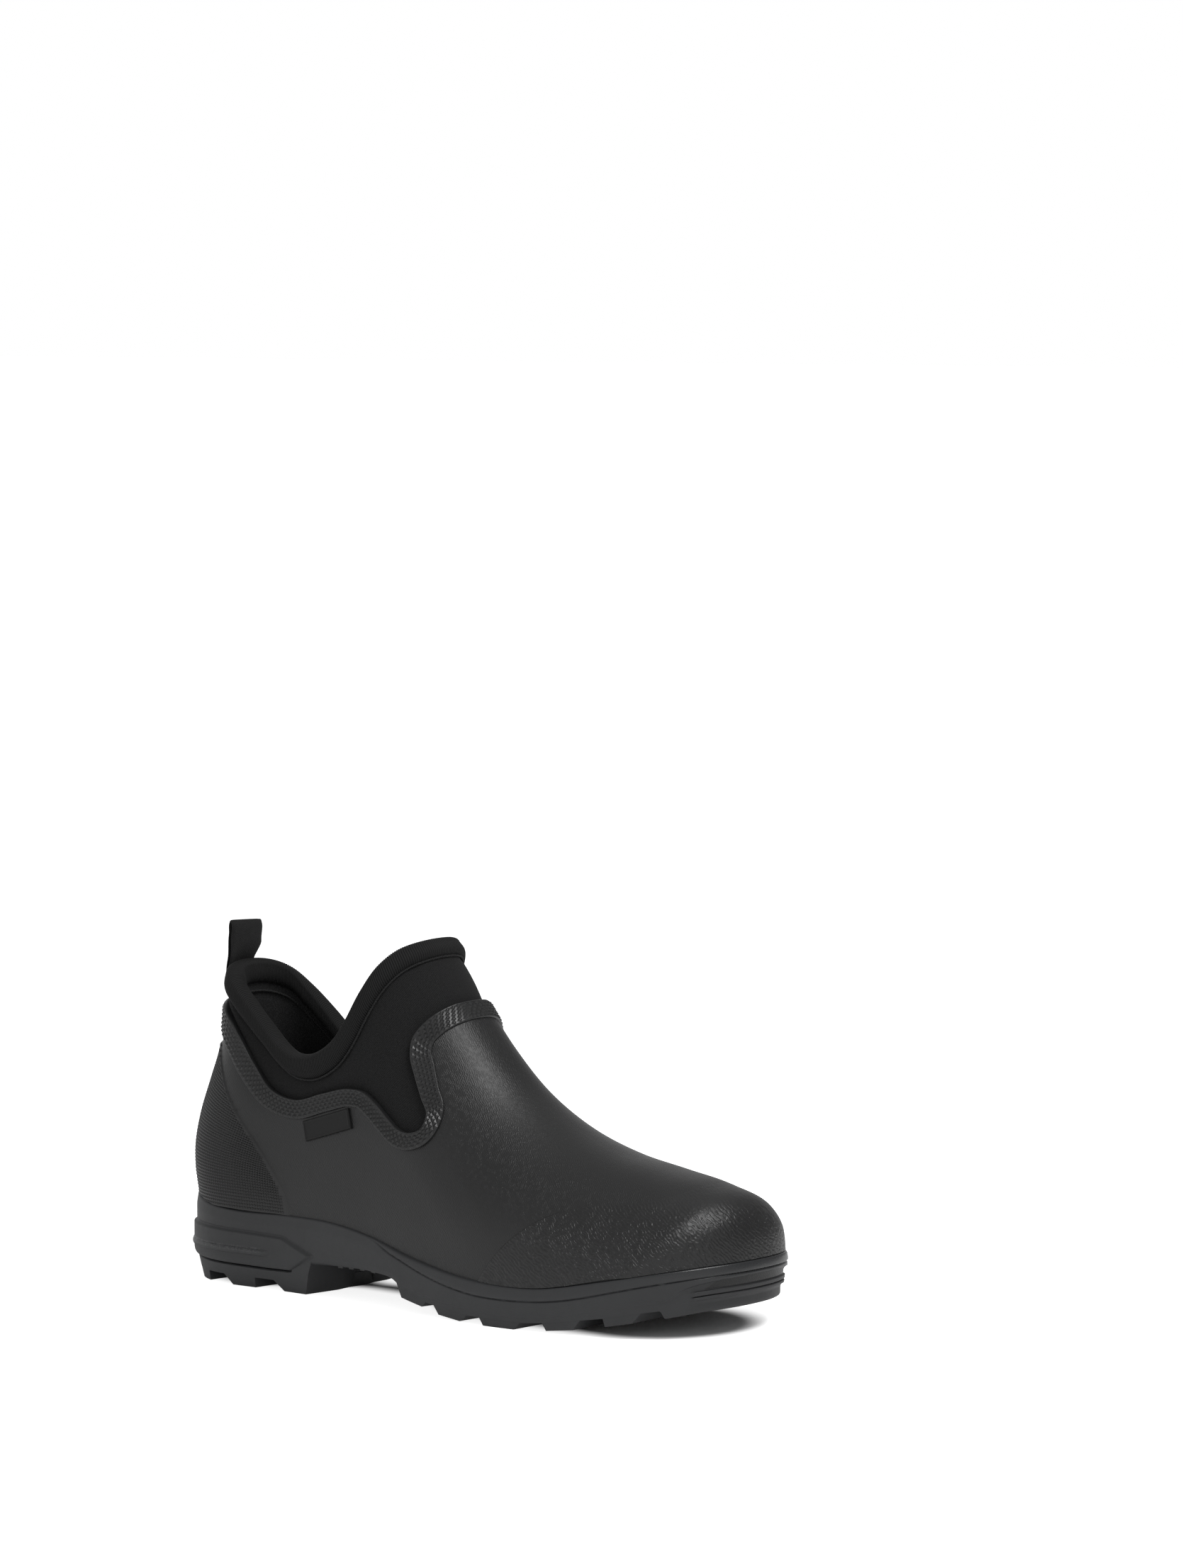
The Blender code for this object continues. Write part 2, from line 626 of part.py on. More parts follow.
boot = bpy.data.collections.new("rubber_ankle_boot")
cutters = bpy.data.collections.new("boot_cutters")
bpy.context.scene.collection.children.link(boot)
bpy.context.scene.collection.children.link(cutters)
place = bpy.data.objects.new("boot_place", None)
place.location = (-MIDDLE_X * MM, -MIDDLE_Y * MM, 0.0)
boot.objects.link(place)

make_sole()
make_insole()
make_shell()
make_collar()
make_binding()
make_band()
make_cap()
make_counter()
make_label()
make_loop()
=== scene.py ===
"""Looks of a rubber ankle boot, right foot: moulded sole, grained shell, neoprene collar and woven trims.

Tables and shapes are in millimetres: x from heel to toe, y to the inner side, z up, as in the part's source.
The base form is the outside of the neoprene. A place on it is an angle round the boot (0 at the back of the
heel, pi at the toe, the lateral side first) and a level from the bed of the sole (0) to the top line (1).
"""
import math

import bmesh
import bpy
import numpy as np
from mathutils import Matrix


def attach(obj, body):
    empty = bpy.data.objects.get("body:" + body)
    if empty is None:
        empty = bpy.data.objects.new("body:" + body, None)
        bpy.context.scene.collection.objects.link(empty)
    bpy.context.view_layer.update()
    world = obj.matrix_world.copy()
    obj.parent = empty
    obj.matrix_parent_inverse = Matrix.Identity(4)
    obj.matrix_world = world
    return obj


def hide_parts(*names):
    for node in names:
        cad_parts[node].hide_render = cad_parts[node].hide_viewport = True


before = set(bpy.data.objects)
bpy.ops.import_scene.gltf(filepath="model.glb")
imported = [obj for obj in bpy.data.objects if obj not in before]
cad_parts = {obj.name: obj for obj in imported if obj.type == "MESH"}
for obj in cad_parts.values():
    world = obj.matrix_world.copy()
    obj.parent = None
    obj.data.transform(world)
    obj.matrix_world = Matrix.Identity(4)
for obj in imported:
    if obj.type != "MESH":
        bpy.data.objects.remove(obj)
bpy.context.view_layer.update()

MM = 0.001
TAU = 2 * math.pi
MIDDLE_X = 144.2

# Side view of the base form, rows of x and z
HEEL_FOOT = 9.3
TOE_FOOT = 282.2
HEEL_LINE = (
    (7.8, 36.0), (5.9, 46.0), (5.4, 56.0), (7.3, 69.0),
    (12.2, 86.0), (16.5, 100.0), (17.8, 112.0), (18.3, 122.0), (18.5, 132.0),
)
RIDGE_LINE = (
    (282.2, 30.0), (280.0, 42.0), (273.5, 50.5), (260.0, 56.5), (240.0, 61.0), (217.0, 66.0),
    (194.0, 74.5), (172.5, 88.0), (155.5, 104.5), (141.5, 121.5), (132.0, 135.5), (124.5, 148.0),
)
TOP_LINE = (
    (18.5, 132.0), (26.0, 128.0), (35.0, 120.5), (47.0, 110.5), (58.0, 102.5), (68.0, 98.2), (78.0, 98.2),
    (90.0, 104.0), (99.5, 115.0), (106.5, 127.5), (113.0, 138.5), (118.5, 144.5), (124.5, 148.0),
)

# Half widths of the base form low down and at the ankle, its middle line and how deep its edges round
SECTION_COLUMNS = ("x", "lateral_low", "medial_low", "lateral_high", "medial_high", "middle", "round")
SECTIONS = (
    (0.0, 34.0, 33.0, 29.0, 29.0, 0.0, 36.0),
    (40.0, 34.0, 33.0, 29.0, 29.0, 0.0, 36.0),
    (80.0, 34.5, 31.5, 29.5, 28.5, -0.5, 38.0),
    (115.0, 37.5, 33.0, 31.0, 29.5, -1.0, 42.0),
    (150.0, 43.0, 38.5, 32.0, 31.0, -1.0, 46.0),
    (185.0, 47.5, 44.5, 33.0, 33.0, -0.5, 50.0),
    (215.0, 48.0, 46.5, 34.0, 34.0, 1.0, 52.0),
    (245.0, 46.5, 46.0, 34.0, 34.0, 3.5, 52.0),
    (292.0, 44.0, 43.0, 34.0, 34.0, 7.5, 50.0),
)
# How much of its half width the opening is drawn in at the rim: x, lateral and medial share
DRAWN_COLUMNS = ("x", "lateral", "medial")
DRAWN_IN = (
    (0.0, 0.0, 0.0), (18.0, 0.0, 0.0), (26.0, 0.05, 0.04), (36.0, 0.16, 0.11), (48.0, 0.18, 0.17),
    (60.0, 0.10, 0.22), (72.0, 0.03, 0.25), (85.0, 0.0, 0.23), (105.0, 0.0, 0.09), (124.0, 0.0, 0.0),
    (300.0, 0.0, 0.0),
)
DRAWN_DEPTH = 30.0
LOW_HEIGHT = 35.0
ANKLE_HEIGHT = 110.0
FULLNESS = 2.25

# Height of the sole's rim, where it meets the upper, rows of x and z; and how deep the upper sits in it
RIM_LINE = (
    (-2.0, 34.0), (45.0, 32.8), (72.0, 32.6), (98.0, 31.9), (120.0, 28.8), (143.0, 23.5), (165.0, 19.6),
    (187.0, 17.4), (214.0, 17.8), (240.0, 22.4), (263.0, 27.2), (280.0, 30.0), (290.0, 30.8),
)
CUP_DEPTH = 9.0

# Wavy top edge of the shell from heel to instep: x, z and width of the band below it; then the edges of the cap
# and the counter, rows of x and z
BAND_EDGE = (
    (2.0, 121.5, 10.0), (17.5, 119.0, 10.0), (26.0, 114.5, 9.6), (36.6, 104.0, 8.6), (47.0, 93.0, 8.2),
    (58.7, 83.8, 8.0), (72.8, 81.0, 8.0), (89.3, 85.3, 8.0), (103.0, 88.3, 7.6), (111.0, 87.8, 7.4),
    (118.0, 83.9, 7.2), (126.0, 78.0, 7.0), (132.4, 74.0, 6.9), (138.6, 72.9, 7.0), (143.6, 74.8, 6.9),
    (144.6, 79.8, 7.0), (140.4, 86.6, 7.4), (135.2, 95.5, 8.0), (131.5, 103.5, 8.0), (130.8, 110.5, 8.4),
    (133.6, 117.0, 8.6), (138.2, 122.7, 8.8), (143.5, 127.0, 8.8), (155.0, 134.5, 8.8),
)
CAP_EDGE = (
    (182.8, 17.4), (185.7, 21.7), (189.7, 26.8), (195.8, 33.6), (203.2, 39.8),
    (214.7, 46.3), (228.5, 49.5), (246.0, 51.3), (256.0, 53.5), (262.0, 58.0), (265.0, 68.0),
)
COUNTER_EDGE = (
    (73.0, 33.0), (69.4, 41.7), (60.5, 53.4), (47.4, 66.8), (35.5, 80.0),
    (28.0, 91.0), (20.0, 100.5), (10.0, 104.0), (-10.0, 105.0),
)

# Offsets from the base form, and walls
SHELL_OUT = 2.0
SHELL_WALL = 1.7
COLLAR_WALL = 3.0
LINING_OUT = -3.25
LINING_WALL = 0.4
BURIED = 1.75

# Share of the trims' depth that is left at the front of the collar, and the angle over which it grows back
TRIM_FRONT = 0.72
TRIM_TURN = 1.2

# How the form is searched and measured: points at a time, steps in angle and level, rounds, largest miss
BATCH = 4000
SLOPE_ANGLE = 0.018
SLOPE_LEVEL = 0.01
SEARCH_STEPS = 61
SEARCH_ROUNDS = 14
NUDGE = 1e-4
MISS_LIMIT = 0.05
LOW_LEVELS = np.linspace(0, 0.45, 46)
HIGH_LEVELS = np.linspace(1, 0.6, 46)


def smooth(xs, ys):
    """A smooth function through a short table."""
    xs = np.asarray(xs, float)
    ys = np.asarray(ys, float)
    step = np.diff(xs)
    slope = np.diff(ys) / step
    lean = np.empty_like(ys)
    lean[1:-1] = (slope[:-1] * step[1:] + slope[1:] * step[:-1]) / (step[:-1] + step[1:])
    lean[0] = 1.5 * slope[0] - 0.5 * lean[1]
    lean[-1] = 1.5 * slope[-1] - 0.5 * lean[-2]

    def value(x):
        x = np.asarray(x, float)
        i = np.clip(np.searchsorted(xs, x) - 1, 0, len(step) - 1)
        s = np.clip((x - xs[i]) / step[i], 0.0, 1.0)
        start = (1 + 2 * s) * (1 - s) ** 2 * ys[i] + s * (1 - s) ** 2 * step[i] * lean[i]
        end = s * s * (3 - 2 * s) * ys[i + 1] + s * s * (s - 1) * step[i] * lean[i + 1]
        return start + end

    return value


def broken(xs, ys):
    """A function through a short table, straight between its rows."""
    return lambda x: np.interp(x, xs, ys)


def curve_through(rows):
    """A smooth curve through the rows of a table, from 0 at the first row to 1 at the last."""
    table = np.asarray(rows, float)
    run = np.r_[0, np.cumsum(np.hypot(*np.diff(table[:, :2], axis=0).T))]
    run /= run[-1]
    parts = [smooth(run, values) for values in table.T]
    return lambda t: np.stack([part(t) for part in parts], -1)


def column(table, names, name):
    """A smooth function of x through one column of a table."""
    data = np.asarray(table, float)
    return smooth(data[:, 0], data[:, names.index(name)])


def ease(low, high, x):
    """0 below low, 1 above high and a soft step between."""
    s = np.clip((np.asarray(x, float) - low) / (high - low), 0, 1)
    return s * s * (3 - 2 * s)


def unit(vectors):
    return vectors / np.maximum(np.linalg.norm(vectors, axis=-1, keepdims=True), 1e-9)


def hump(away, width):
    """1 on a line and falling off softly on both sides of it."""
    return np.exp(-(away / width) ** 2)


def run_along(points):
    """Distance along a line of points, or along each column of a grid of them, from 0 at the first."""
    steps = np.linalg.norm(np.diff(points, axis=0), axis=-1)
    return np.concatenate([np.zeros_like(steps[:1]), np.cumsum(steps, 0)])


rim_height = smooth(*zip(*RIM_LINE))
section = {name: column(SECTIONS, SECTION_COLUMNS, name) for name in SECTION_COLUMNS[1:]}
drawn_in = {name: column(DRAWN_IN, DRAWN_COLUMNS, name) for name in DRAWN_COLUMNS[1:]}


def bed_line(t):
    """Lower edge of the upper in side view, inside the cup of the sole."""
    x = HEEL_FOOT + (TOE_FOOT - HEEL_FOOT) * np.asarray(t, float)
    return np.stack([x, rim_height(x) - CUP_DEPTH], -1)


heel_line = curve_through((tuple(bed_line(0.0)),) + HEEL_LINE)
ridge_line = curve_through((tuple(bed_line(1.0)),) + RIDGE_LINE)
top_line = curve_through(TOP_LINE)
PROFILE_POINTS = 200
OUTLINES = [line(np.linspace(0, 1, PROFILE_POINTS)) for line in (heel_line, ridge_line, top_line)]


def distance(points, line):
    """Distance from each point to a line of points."""
    a = line[:-1]
    d = line[1:] - a
    near = np.empty(len(points))
    for first in range(0, len(points), BATCH):
        away = points[first:first + BATCH, None] - a
        s = np.clip((away * d).sum(-1) / np.maximum((d * d).sum(-1), 1e-12), 0, 1)
        near[first:first + BATCH] = np.sqrt(((away - s[..., None] * d) ** 2).sum(-1)).min(1)
    return near


def flanks(points):
    """Lateral and medial y of the base form at side-view points."""
    flat = points.reshape(-1, 2)
    x, z = flat.T
    behind, before, below = (distance(flat, line) for line in OUTLINES)
    depth = np.minimum(behind, before)
    rise = ease(LOW_HEIGHT, ANKLE_HEIGHT, z)
    inward = 1 - np.clip(depth / section["round"](x), 0, 1)
    bulge = (1 - inward ** FULLNESS) ** (1 / FULLNESS)
    lateral = section["lateral_low"](x) * (1 - rise) + section["lateral_high"](x) * rise
    medial = section["medial_low"](x) * (1 - rise) + section["medial_high"](x) * rise
    near_rim = 1 - ease(0.0, DRAWN_DEPTH, below)
    lateral = lateral * (1 - near_rim * drawn_in["lateral"](x))
    medial = medial * (1 - near_rim * drawn_in["medial"](x))
    middle = section["middle"](x)
    shape = points.shape[:-1]
    return (middle - lateral * bulge).reshape(shape), (middle + medial * bulge).reshape(shape)


def side_point(t, v):
    """Side view of the base form: t from heel to toe, v from the bed to the top line."""
    t = np.asarray(t, float)[..., None]
    v = np.asarray(v, float)[..., None]
    along = (1 - v) * bed_line(t[..., 0]) + v * top_line(t[..., 0])
    across = (1 - t) * heel_line(v[..., 0]) + t * ridge_line(v[..., 0])
    low = (1 - t) * bed_line(0.0) + t * bed_line(1.0)
    high = (1 - t) * top_line(0.0) + t * top_line(1.0)
    return along + across - (1 - v) * low - v * high


# The base form as a fine grid, looked up between its points
AROUND = 720
UPWARDS = 200


def fill_form():
    """Points of the base form, angle by angle, each from the bed up."""
    angle = np.linspace(0, math.pi, AROUND // 2 + 1)
    t = (1 - np.cos(angle)) / 2
    side = side_point(*np.meshgrid(t, np.linspace(0, 1, UPWARDS + 1), indexing="ij"))
    lateral, medial = flanks(side)
    near = np.stack([side[..., 0], lateral, side[..., 1]], -1)
    far = np.stack([side[..., 0], medial, side[..., 1]], -1)
    return np.concatenate([near, far[-2:0:-1]], 0)


FORM = fill_form()


def cubic_weights(f):
    """Shares of four neighbours in a smooth curve between the middle two."""
    return (
        0.5 * (-f + 2 * f * f - f ** 3), 0.5 * (2 - 5 * f * f + 3 * f ** 3),
        0.5 * (f + 4 * f * f - 3 * f ** 3), 0.5 * (-f * f + f ** 3),
    )


def form_point(angle, level):
    """Points of the base form."""
    a = angle / TAU * AROUND
    b = np.clip(level, 0, 1) * UPWARDS
    i = np.floor(a).astype(int)
    j = np.clip(np.floor(b).astype(int), 0, UPWARDS - 1)
    total = 0.0
    for p, wide in enumerate(cubic_weights(a - i)):
        for q, tall in enumerate(cubic_weights(b - j)):
            row = np.clip(j + q - 1, 0, UPWARDS)
            total = total + (wide * tall)[..., None] * FORM[(i + p - 1) % AROUND, row]
    return total


def form_normal(angle, level):
    """The way out of the base form."""
    around = form_point(angle + SLOPE_ANGLE, level) - form_point(angle - SLOPE_ANGLE, level)
    above, below = (np.clip(level + step, 0, 1) for step in (SLOPE_LEVEL, -SLOPE_LEVEL))
    return unit(np.cross(around, form_point(angle, above) - form_point(angle, below)))


def on_form(angle, level, out):
    """Points at a height over the base form."""
    angle, level, out = np.broadcast_arrays(angle, level, np.asarray(out, float))
    return form_point(angle, level) + out[..., None] * form_normal(angle, level)


def locate(points):
    """Angle and level on the lateral side of side-view points, and how far each was missed."""
    steps = np.linspace(0, 1, SEARCH_STEPS)
    t, v = (grid.ravel() for grid in np.meshgrid(steps, steps, indexing="ij"))
    side = side_point(t, v)
    best = np.array([((p - side) ** 2).sum(-1).argmin() for p in points])
    t, v = t[best], v[best]
    for _ in range(SEARCH_ROUNDS):
        here = side_point(t, v)
        ht = np.where(t > 0.5, -NUDGE, NUDGE)
        hv = np.where(v > 0.5, -NUDGE, NUDGE)
        dt = (side_point(t + ht, v) - here) / ht[:, None]
        dv = (side_point(t, v + hv) - here) / hv[:, None]
        miss = points - here
        det = dt[:, 0] * dv[:, 1] - dt[:, 1] * dv[:, 0]
        t = np.clip(t + (miss[:, 0] * dv[:, 1] - miss[:, 1] * dv[:, 0]) / det, 0, 1)
        v = np.clip(v + (dt[:, 0] * miss[:, 1] - dt[:, 1] * miss[:, 0]) / det, 0, 1)
    missed = np.linalg.norm(points - side_point(t, v), axis=-1)
    return np.arccos(np.clip(1 - 2 * t, -1, 1)), v, missed


def at_levels(angle, levels):
    """Points of the base form at each of some levels, for each angle."""
    return form_point(*np.broadcast_arrays(angle[None], levels[:, None]))


def level_at_height(angle, above):
    """Level where the base form stands a height above its bed."""
    points = at_levels(angle, LOW_LEVELS)
    rise = points[..., 2] - (rim_height(points[..., 0]) - CUP_DEPTH)
    return np.array([np.interp(above, rise[:, i], LOW_LEVELS) for i in range(len(angle))])


def level_below_top(angle, depth):
    """Level at a distance down the surface from the top line, less of it towards the front."""
    down = run_along(at_levels(angle, HIGH_LEVELS))
    depth = depth * (TRIM_FRONT + (1 - TRIM_FRONT) * ease(0.0, TRIM_TURN, np.abs(angle % TAU - math.pi)))
    return np.array([np.interp(depth[i], down[:, i], HIGH_LEVELS) for i in range(len(angle))])


def angles_and_run(line, samples):
    """Angles round the boot, and the run along a closed line that is given as a function of the angle."""
    coarse = np.linspace(0, TAU, samples)
    return coarse, run_along(line(coarse))


def even_steps(run, values, count):
    """Values again at even steps along a closed run."""
    return np.interp(np.linspace(0, run[-1], count, endpoint=False), run, values)


class Wire:
    """A node socket that takes part in Python expressions."""

    def __init__(self, tree, socket=None):
        self.tree = tree
        self.socket = socket

    def node(self, kind, settings=None, sockets=None, out=0):
        """A new node: its settings, then the values or links of its sockets; its output as a wire."""
        made = self.tree.nodes.new(kind)
        for name, value in (settings or {}).items():
            setattr(made, name, value)
        for name, value in (sockets or {}).items():
            if isinstance(value, Wire):
                self.tree.links.new(value.socket, made.inputs[name])
            elif value is not None:
                made.inputs[name].default_value = value
        return Wire(self.tree, made.outputs[out])

    def math(self, operation, *values):
        return self.node("ShaderNodeMath", {"operation": operation}, dict(enumerate(values)))

    def __add__(self, other):
        return self.math("ADD", self, other)

    def __radd__(self, other):
        return self.math("ADD", other, self)

    def __sub__(self, other):
        return self.math("SUBTRACT", self, other)

    def __rsub__(self, other):
        return self.math("SUBTRACT", other, self)

    def __mul__(self, other):
        return self.math("MULTIPLY", self, other)

    def __rmul__(self, other):
        return self.math("MULTIPLY", other, self)

    def __pow__(self, other):
        return self.math("POWER", self, other)

    def sine(self):
        return self.math("SINE", self)

    def absolute(self):
        return self.math("ABSOLUTE", self)

    def ramp(self, low, high, start=0.0, end=1.0):
        """A soft step of the value between two limits."""
        values = {"Value": self, "From Min": low, "From Max": high, "To Min": start, "To Max": end}
        return self.node("ShaderNodeMapRange", {"interpolation_type": "SMOOTHSTEP"}, values)

    def limited(self, low, high):
        """0 below one limit, 1 above the other and straight between."""
        return self.node("ShaderNodeMapRange", None, {"Value": self, "From Min": low, "From Max": high})

    def part(self, axis):
        return self.node("ShaderNodeSeparateXYZ", None, {0: self}, axis)

    def scaled(self, factors):
        """A vector times another, part by part."""
        return self.node("ShaderNodeVectorMath", {"operation": "MULTIPLY"}, {0: self, 1: factors})

    def times(self, factor):
        """A vector times a number."""
        return self.node("ShaderNodeVectorMath", {"operation": "SCALE"}, {0: self, "Scale": factor})

    def stored(self, name, kind):
        """What is kept under a name on each point."""
        return self.node("GeometryNodeInputNamedAttribute", {"data_type": kind}, {"Name": name})

    def millimetres(self):
        """A place on the piece, in millimetres."""
        return self.node("ShaderNodeTexCoord", out="Object").scaled((1 / MM,) * 3)

    def noise(self, scale, detail=2.0, rough=0.5):
        values = {"Vector": self, "Scale": scale, "Detail": detail, "Roughness": rough}
        return self.node("ShaderNodeTexNoise", {"noise_dimensions": "3D"}, values)

    def mix(self, first, second):
        """A colour between two, by this value."""
        settings = {"data_type": "RGBA"}
        return self.node("ShaderNodeMix", settings, {"Factor": self, 6: first, 7: second}, 2)


def finish(name, build, **constants):
    """A material whose colour, roughness and relief in millimetres come from build(millimetres, uv)."""
    made = bpy.data.materials.new(name)
    made.use_nodes = True
    tree = made.node_tree
    shader = tree.nodes["Principled BSDF"]
    for socket, value in constants.items():
        shader.inputs[socket.replace("_", " ")].default_value = value
    start = Wire(tree)
    uv = start.node("ShaderNodeTexCoord", out="UV")
    for socket, wire in build(start.millimetres(), uv).items():
        if socket == "Relief":
            wire = wire.node("ShaderNodeBump", None, {"Strength": 1.0, "Distance": MM, "Height": wire})
            socket = "Normal"
        tree.links.new(wire.socket, shader.inputs[socket])
    return made


# Dark and light grey of each finish, and their tints
SHADES = {
    # The elastic's dark grey is painted shade for the troughs between its ribs
    "shell": (0.0135, 0.0165), "cap": (0.0135, 0.0165), "counter": (0.019, 0.025), "band": (0.016, 0.022),
    "sole": (0.026, 0.034), "label": (0.003, 0.005), "knit": (0.005, 0.024), "elastic": (0.0006, 0.0125),
    "cord": (0.012, 0.028), "tape": (0.003, 0.013), "lining": (0.018, 0.042), "footbed": (0.006, 0.012),
}
# Grey of the highlight painted on top of the heel's rib
PAINTED_HIGHLIGHT_GREY = 0.1
NEUTRAL = (1.0, 1.0, 1.02)
COOL = (0.97, 1.0, 1.06)

# Grain of the shell and the cap: direction, strokes in a millimetre times tau, sizes of swirls and gaps
SHELL_GRAIN = ((0.71, 0.55, 0.45), 8.5, 0.06, 0.45)
CAP_GRAIN = ((0.55, 0.43, 0.7), 5.0, 0.09, 0.5)
CAP_FADING = (46.0, 54.0)

# Polished stretch of the bead at the toe, and the top of the heel's rib, smoother and with a painted highlight:
# x from the middle, and z
POLISHED_X = (88.0, 116.0)
POLISHED_Z = (22.0, 26.0)
RIB_HIGHLIGHT_X = (-80.0, -88.0)
RIB_HIGHLIGHT_Z = ((15.2, 16.4), (18.2, 17.2))

# Threads of the cloths, in a millimetre times tau; those of the knit also have a slant
TWILL = (0.8, 6.6)
WALE = (0.6, 9.0)
TAPE_THREADS = 7.5
LINING_THREADS = 4.5


def grey(value, tint=NEUTRAL):
    return tuple(value * part for part in tint) + (1.0,)


def greys(name, tint=NEUTRAL):
    """Dark and light colour of a finish."""
    return [grey(value, tint) for value in SHADES[name]]


def dusty(place, name, tint=NEUTRAL):
    """A base colour with faint cloudy patches and a few pale specks of dust."""
    clouds = place.noise(0.03, 3.0).ramp(0.3, 0.7)
    specks = place.noise(1.6, 1.0).ramp(0.76, 0.80)
    return (clouds * 0.6 + specks * 0.5).mix(*greys(name, tint))


def strokes(place, direction, rate, swirl, gaps):
    """Short raised strokes across a direction, swirling slowly and broken here and there."""
    x, y, z = direction
    lean = place.part(0) * x + place.part(1) * y + place.part(2) * z
    turned = place.noise(swirl, 1.0) * 16.0 + place.noise(rate * 0.07, 1.0) * 10.0
    turned = turned + place.noise(0.8, 1.0) * 3.0
    kept = place.noise(gaps, 1.0).ramp(0.33, 0.6)
    return (lean * rate + turned).sine().ramp(-0.8, 0.8) * (kept * 0.65 + 0.35)


def shell_look(place, uv):
    """Fine grain of short strokes."""
    region = place.noise(0.02, 2.0).ramp(0.35, 0.65)
    relief = strokes(place, *SHELL_GRAIN) * 0.046 + place.noise(1.1, 2.0) * 0.03
    rough = 0.36 + region * 0.05 + place.noise(0.5, 2.0) * 0.06
    return {"Base Color": dusty(place, "shell"), "Roughness": rough, "Relief": relief}


def cap_look(place, uv):
    """Coarser strokes, like a fingerprint, that fade out at the top."""
    fading = place.part(2).ramp(*CAP_FADING)
    relief = strokes(place, *CAP_GRAIN) * (0.175 - fading * 0.13) + place.noise(0.45, 2.0) * 0.1
    rough = 0.34 + fading * 0.06 + place.noise(0.4, 2.0) * 0.06
    return {"Base Color": dusty(place, "cap"), "Roughness": rough, "Relief": relief}


def counter_look(place, uv):
    rough = 0.30 + place.noise(0.8) * 0.1
    return {"Base Color": dusty(place, "counter"), "Roughness": rough, "Relief": place.noise(1.4, 3.0) * 0.03}


def band_look(place, uv):
    rough = 0.28 + place.noise(0.8) * 0.1
    return {"Base Color": dusty(place, "band"), "Roughness": rough, "Relief": place.noise(1.8, 3.0) * 0.02}


def sole_look(place, uv):
    """Matte, polished on the bead at the toe; on top of the heel's rib smoother and with a pale painted
    highlight.
    """
    along, height = place.part(0), place.part(2)
    polished = along.ramp(*POLISHED_X) * height.ramp(*POLISHED_Z)
    worn_and_highlit = height.ramp(*RIB_HIGHLIGHT_Z[0]) * height.ramp(*RIB_HIGHLIGHT_Z[1]) * along.ramp(*RIB_HIGHLIGHT_X)
    rough = 0.46 + place.noise(0.3, 3.0) * 0.12 - polished * 0.24 - worn_and_highlit * 0.14
    # painted highlight: pale speckles on top of the heel's rib, where the soft light would catch it
    painted_highlight = worn_and_highlit * place.noise(1.3, 3.0).ramp(0.35, 0.75) * 0.6
    colour = painted_highlight.mix(dusty(place, "sole", COOL), grey(PAINTED_HIGHLIGHT_GREY))
    return {"Base Color": colour, "Roughness": rough, "Relief": place.noise(0.9, 4.0, 0.6) * 0.05}


def label_look(place, uv):
    rough = 0.5 + place.noise(0.6) * 0.08
    return {"Base Color": dusty(place, "label"), "Roughness": rough, "Relief": place.noise(2.2, 2.0) * 0.02}


def knit_look(place, uv):
    """Fine diagonal knit on the unwrapped sleeve."""
    across = uv.part(0)
    up = uv.part(1)
    twill = ((across + up * TWILL[0]) * TWILL[1]).sine()
    wale = ((across - up * WALE[0]) * WALE[1]).sine()
    fuzz = place.noise(2.4, 3.0)
    relief = twill * 0.03 + wale * 0.015 + fuzz * 0.06
    shade = (twill * 0.26 + fuzz).ramp(0.2, 0.85)
    return {"Base Color": shade.mix(*greys("knit")), "Relief": relief}


def elastic_look(place, uv):
    """Ribbed elastic: one rib for each whole number of the run, with painted shade between the ribs."""
    rib = (uv.part(0) * math.pi).sine().absolute()
    fuzz = place.noise(2.0, 3.0)
    # painted shade: the colour goes dark in the troughs between the ribs
    shade = rib.ramp(0.1, 0.9) * (0.4 + fuzz * 0.6)
    return {"Base Color": shade.mix(*greys("elastic")), "Relief": fuzz * 0.03}


def cord_look(place, uv):
    fuzz = place.noise(2.0, 3.0)
    return {"Base Color": fuzz.ramp(0.3, 0.8).mix(*greys("cord")), "Relief": fuzz * 0.03}


def woven(uv, threads):
    """Plain weave: raised squares in staggered rows."""
    return (uv.part(0) * threads).sine() * (uv.part(1) * threads).sine()


def tape_look(place, uv):
    weave = woven(uv, TAPE_THREADS)
    fuzz = place.noise(2.0, 2.0)
    shade = (weave * 0.5 + fuzz).ramp(0.0, 1.0)
    return {"Base Color": shade.mix(*greys("tape")), "Relief": weave * 0.08 + fuzz * 0.03}


def lining_look(place, uv):
    fuzz = place.noise(1.8, 3.0)
    relief = woven(uv, LINING_THREADS) * 0.03 + fuzz * 0.05
    return {"Base Color": fuzz.ramp(0.3, 0.8).mix(*greys("lining")), "Relief": relief}


def footbed_look(place, uv):
    fuzz = place.noise(1.2, 4.0)
    return {"Base Color": fuzz.ramp(0.3, 0.8).mix(*greys("footbed")), "Relief": fuzz * 0.12}


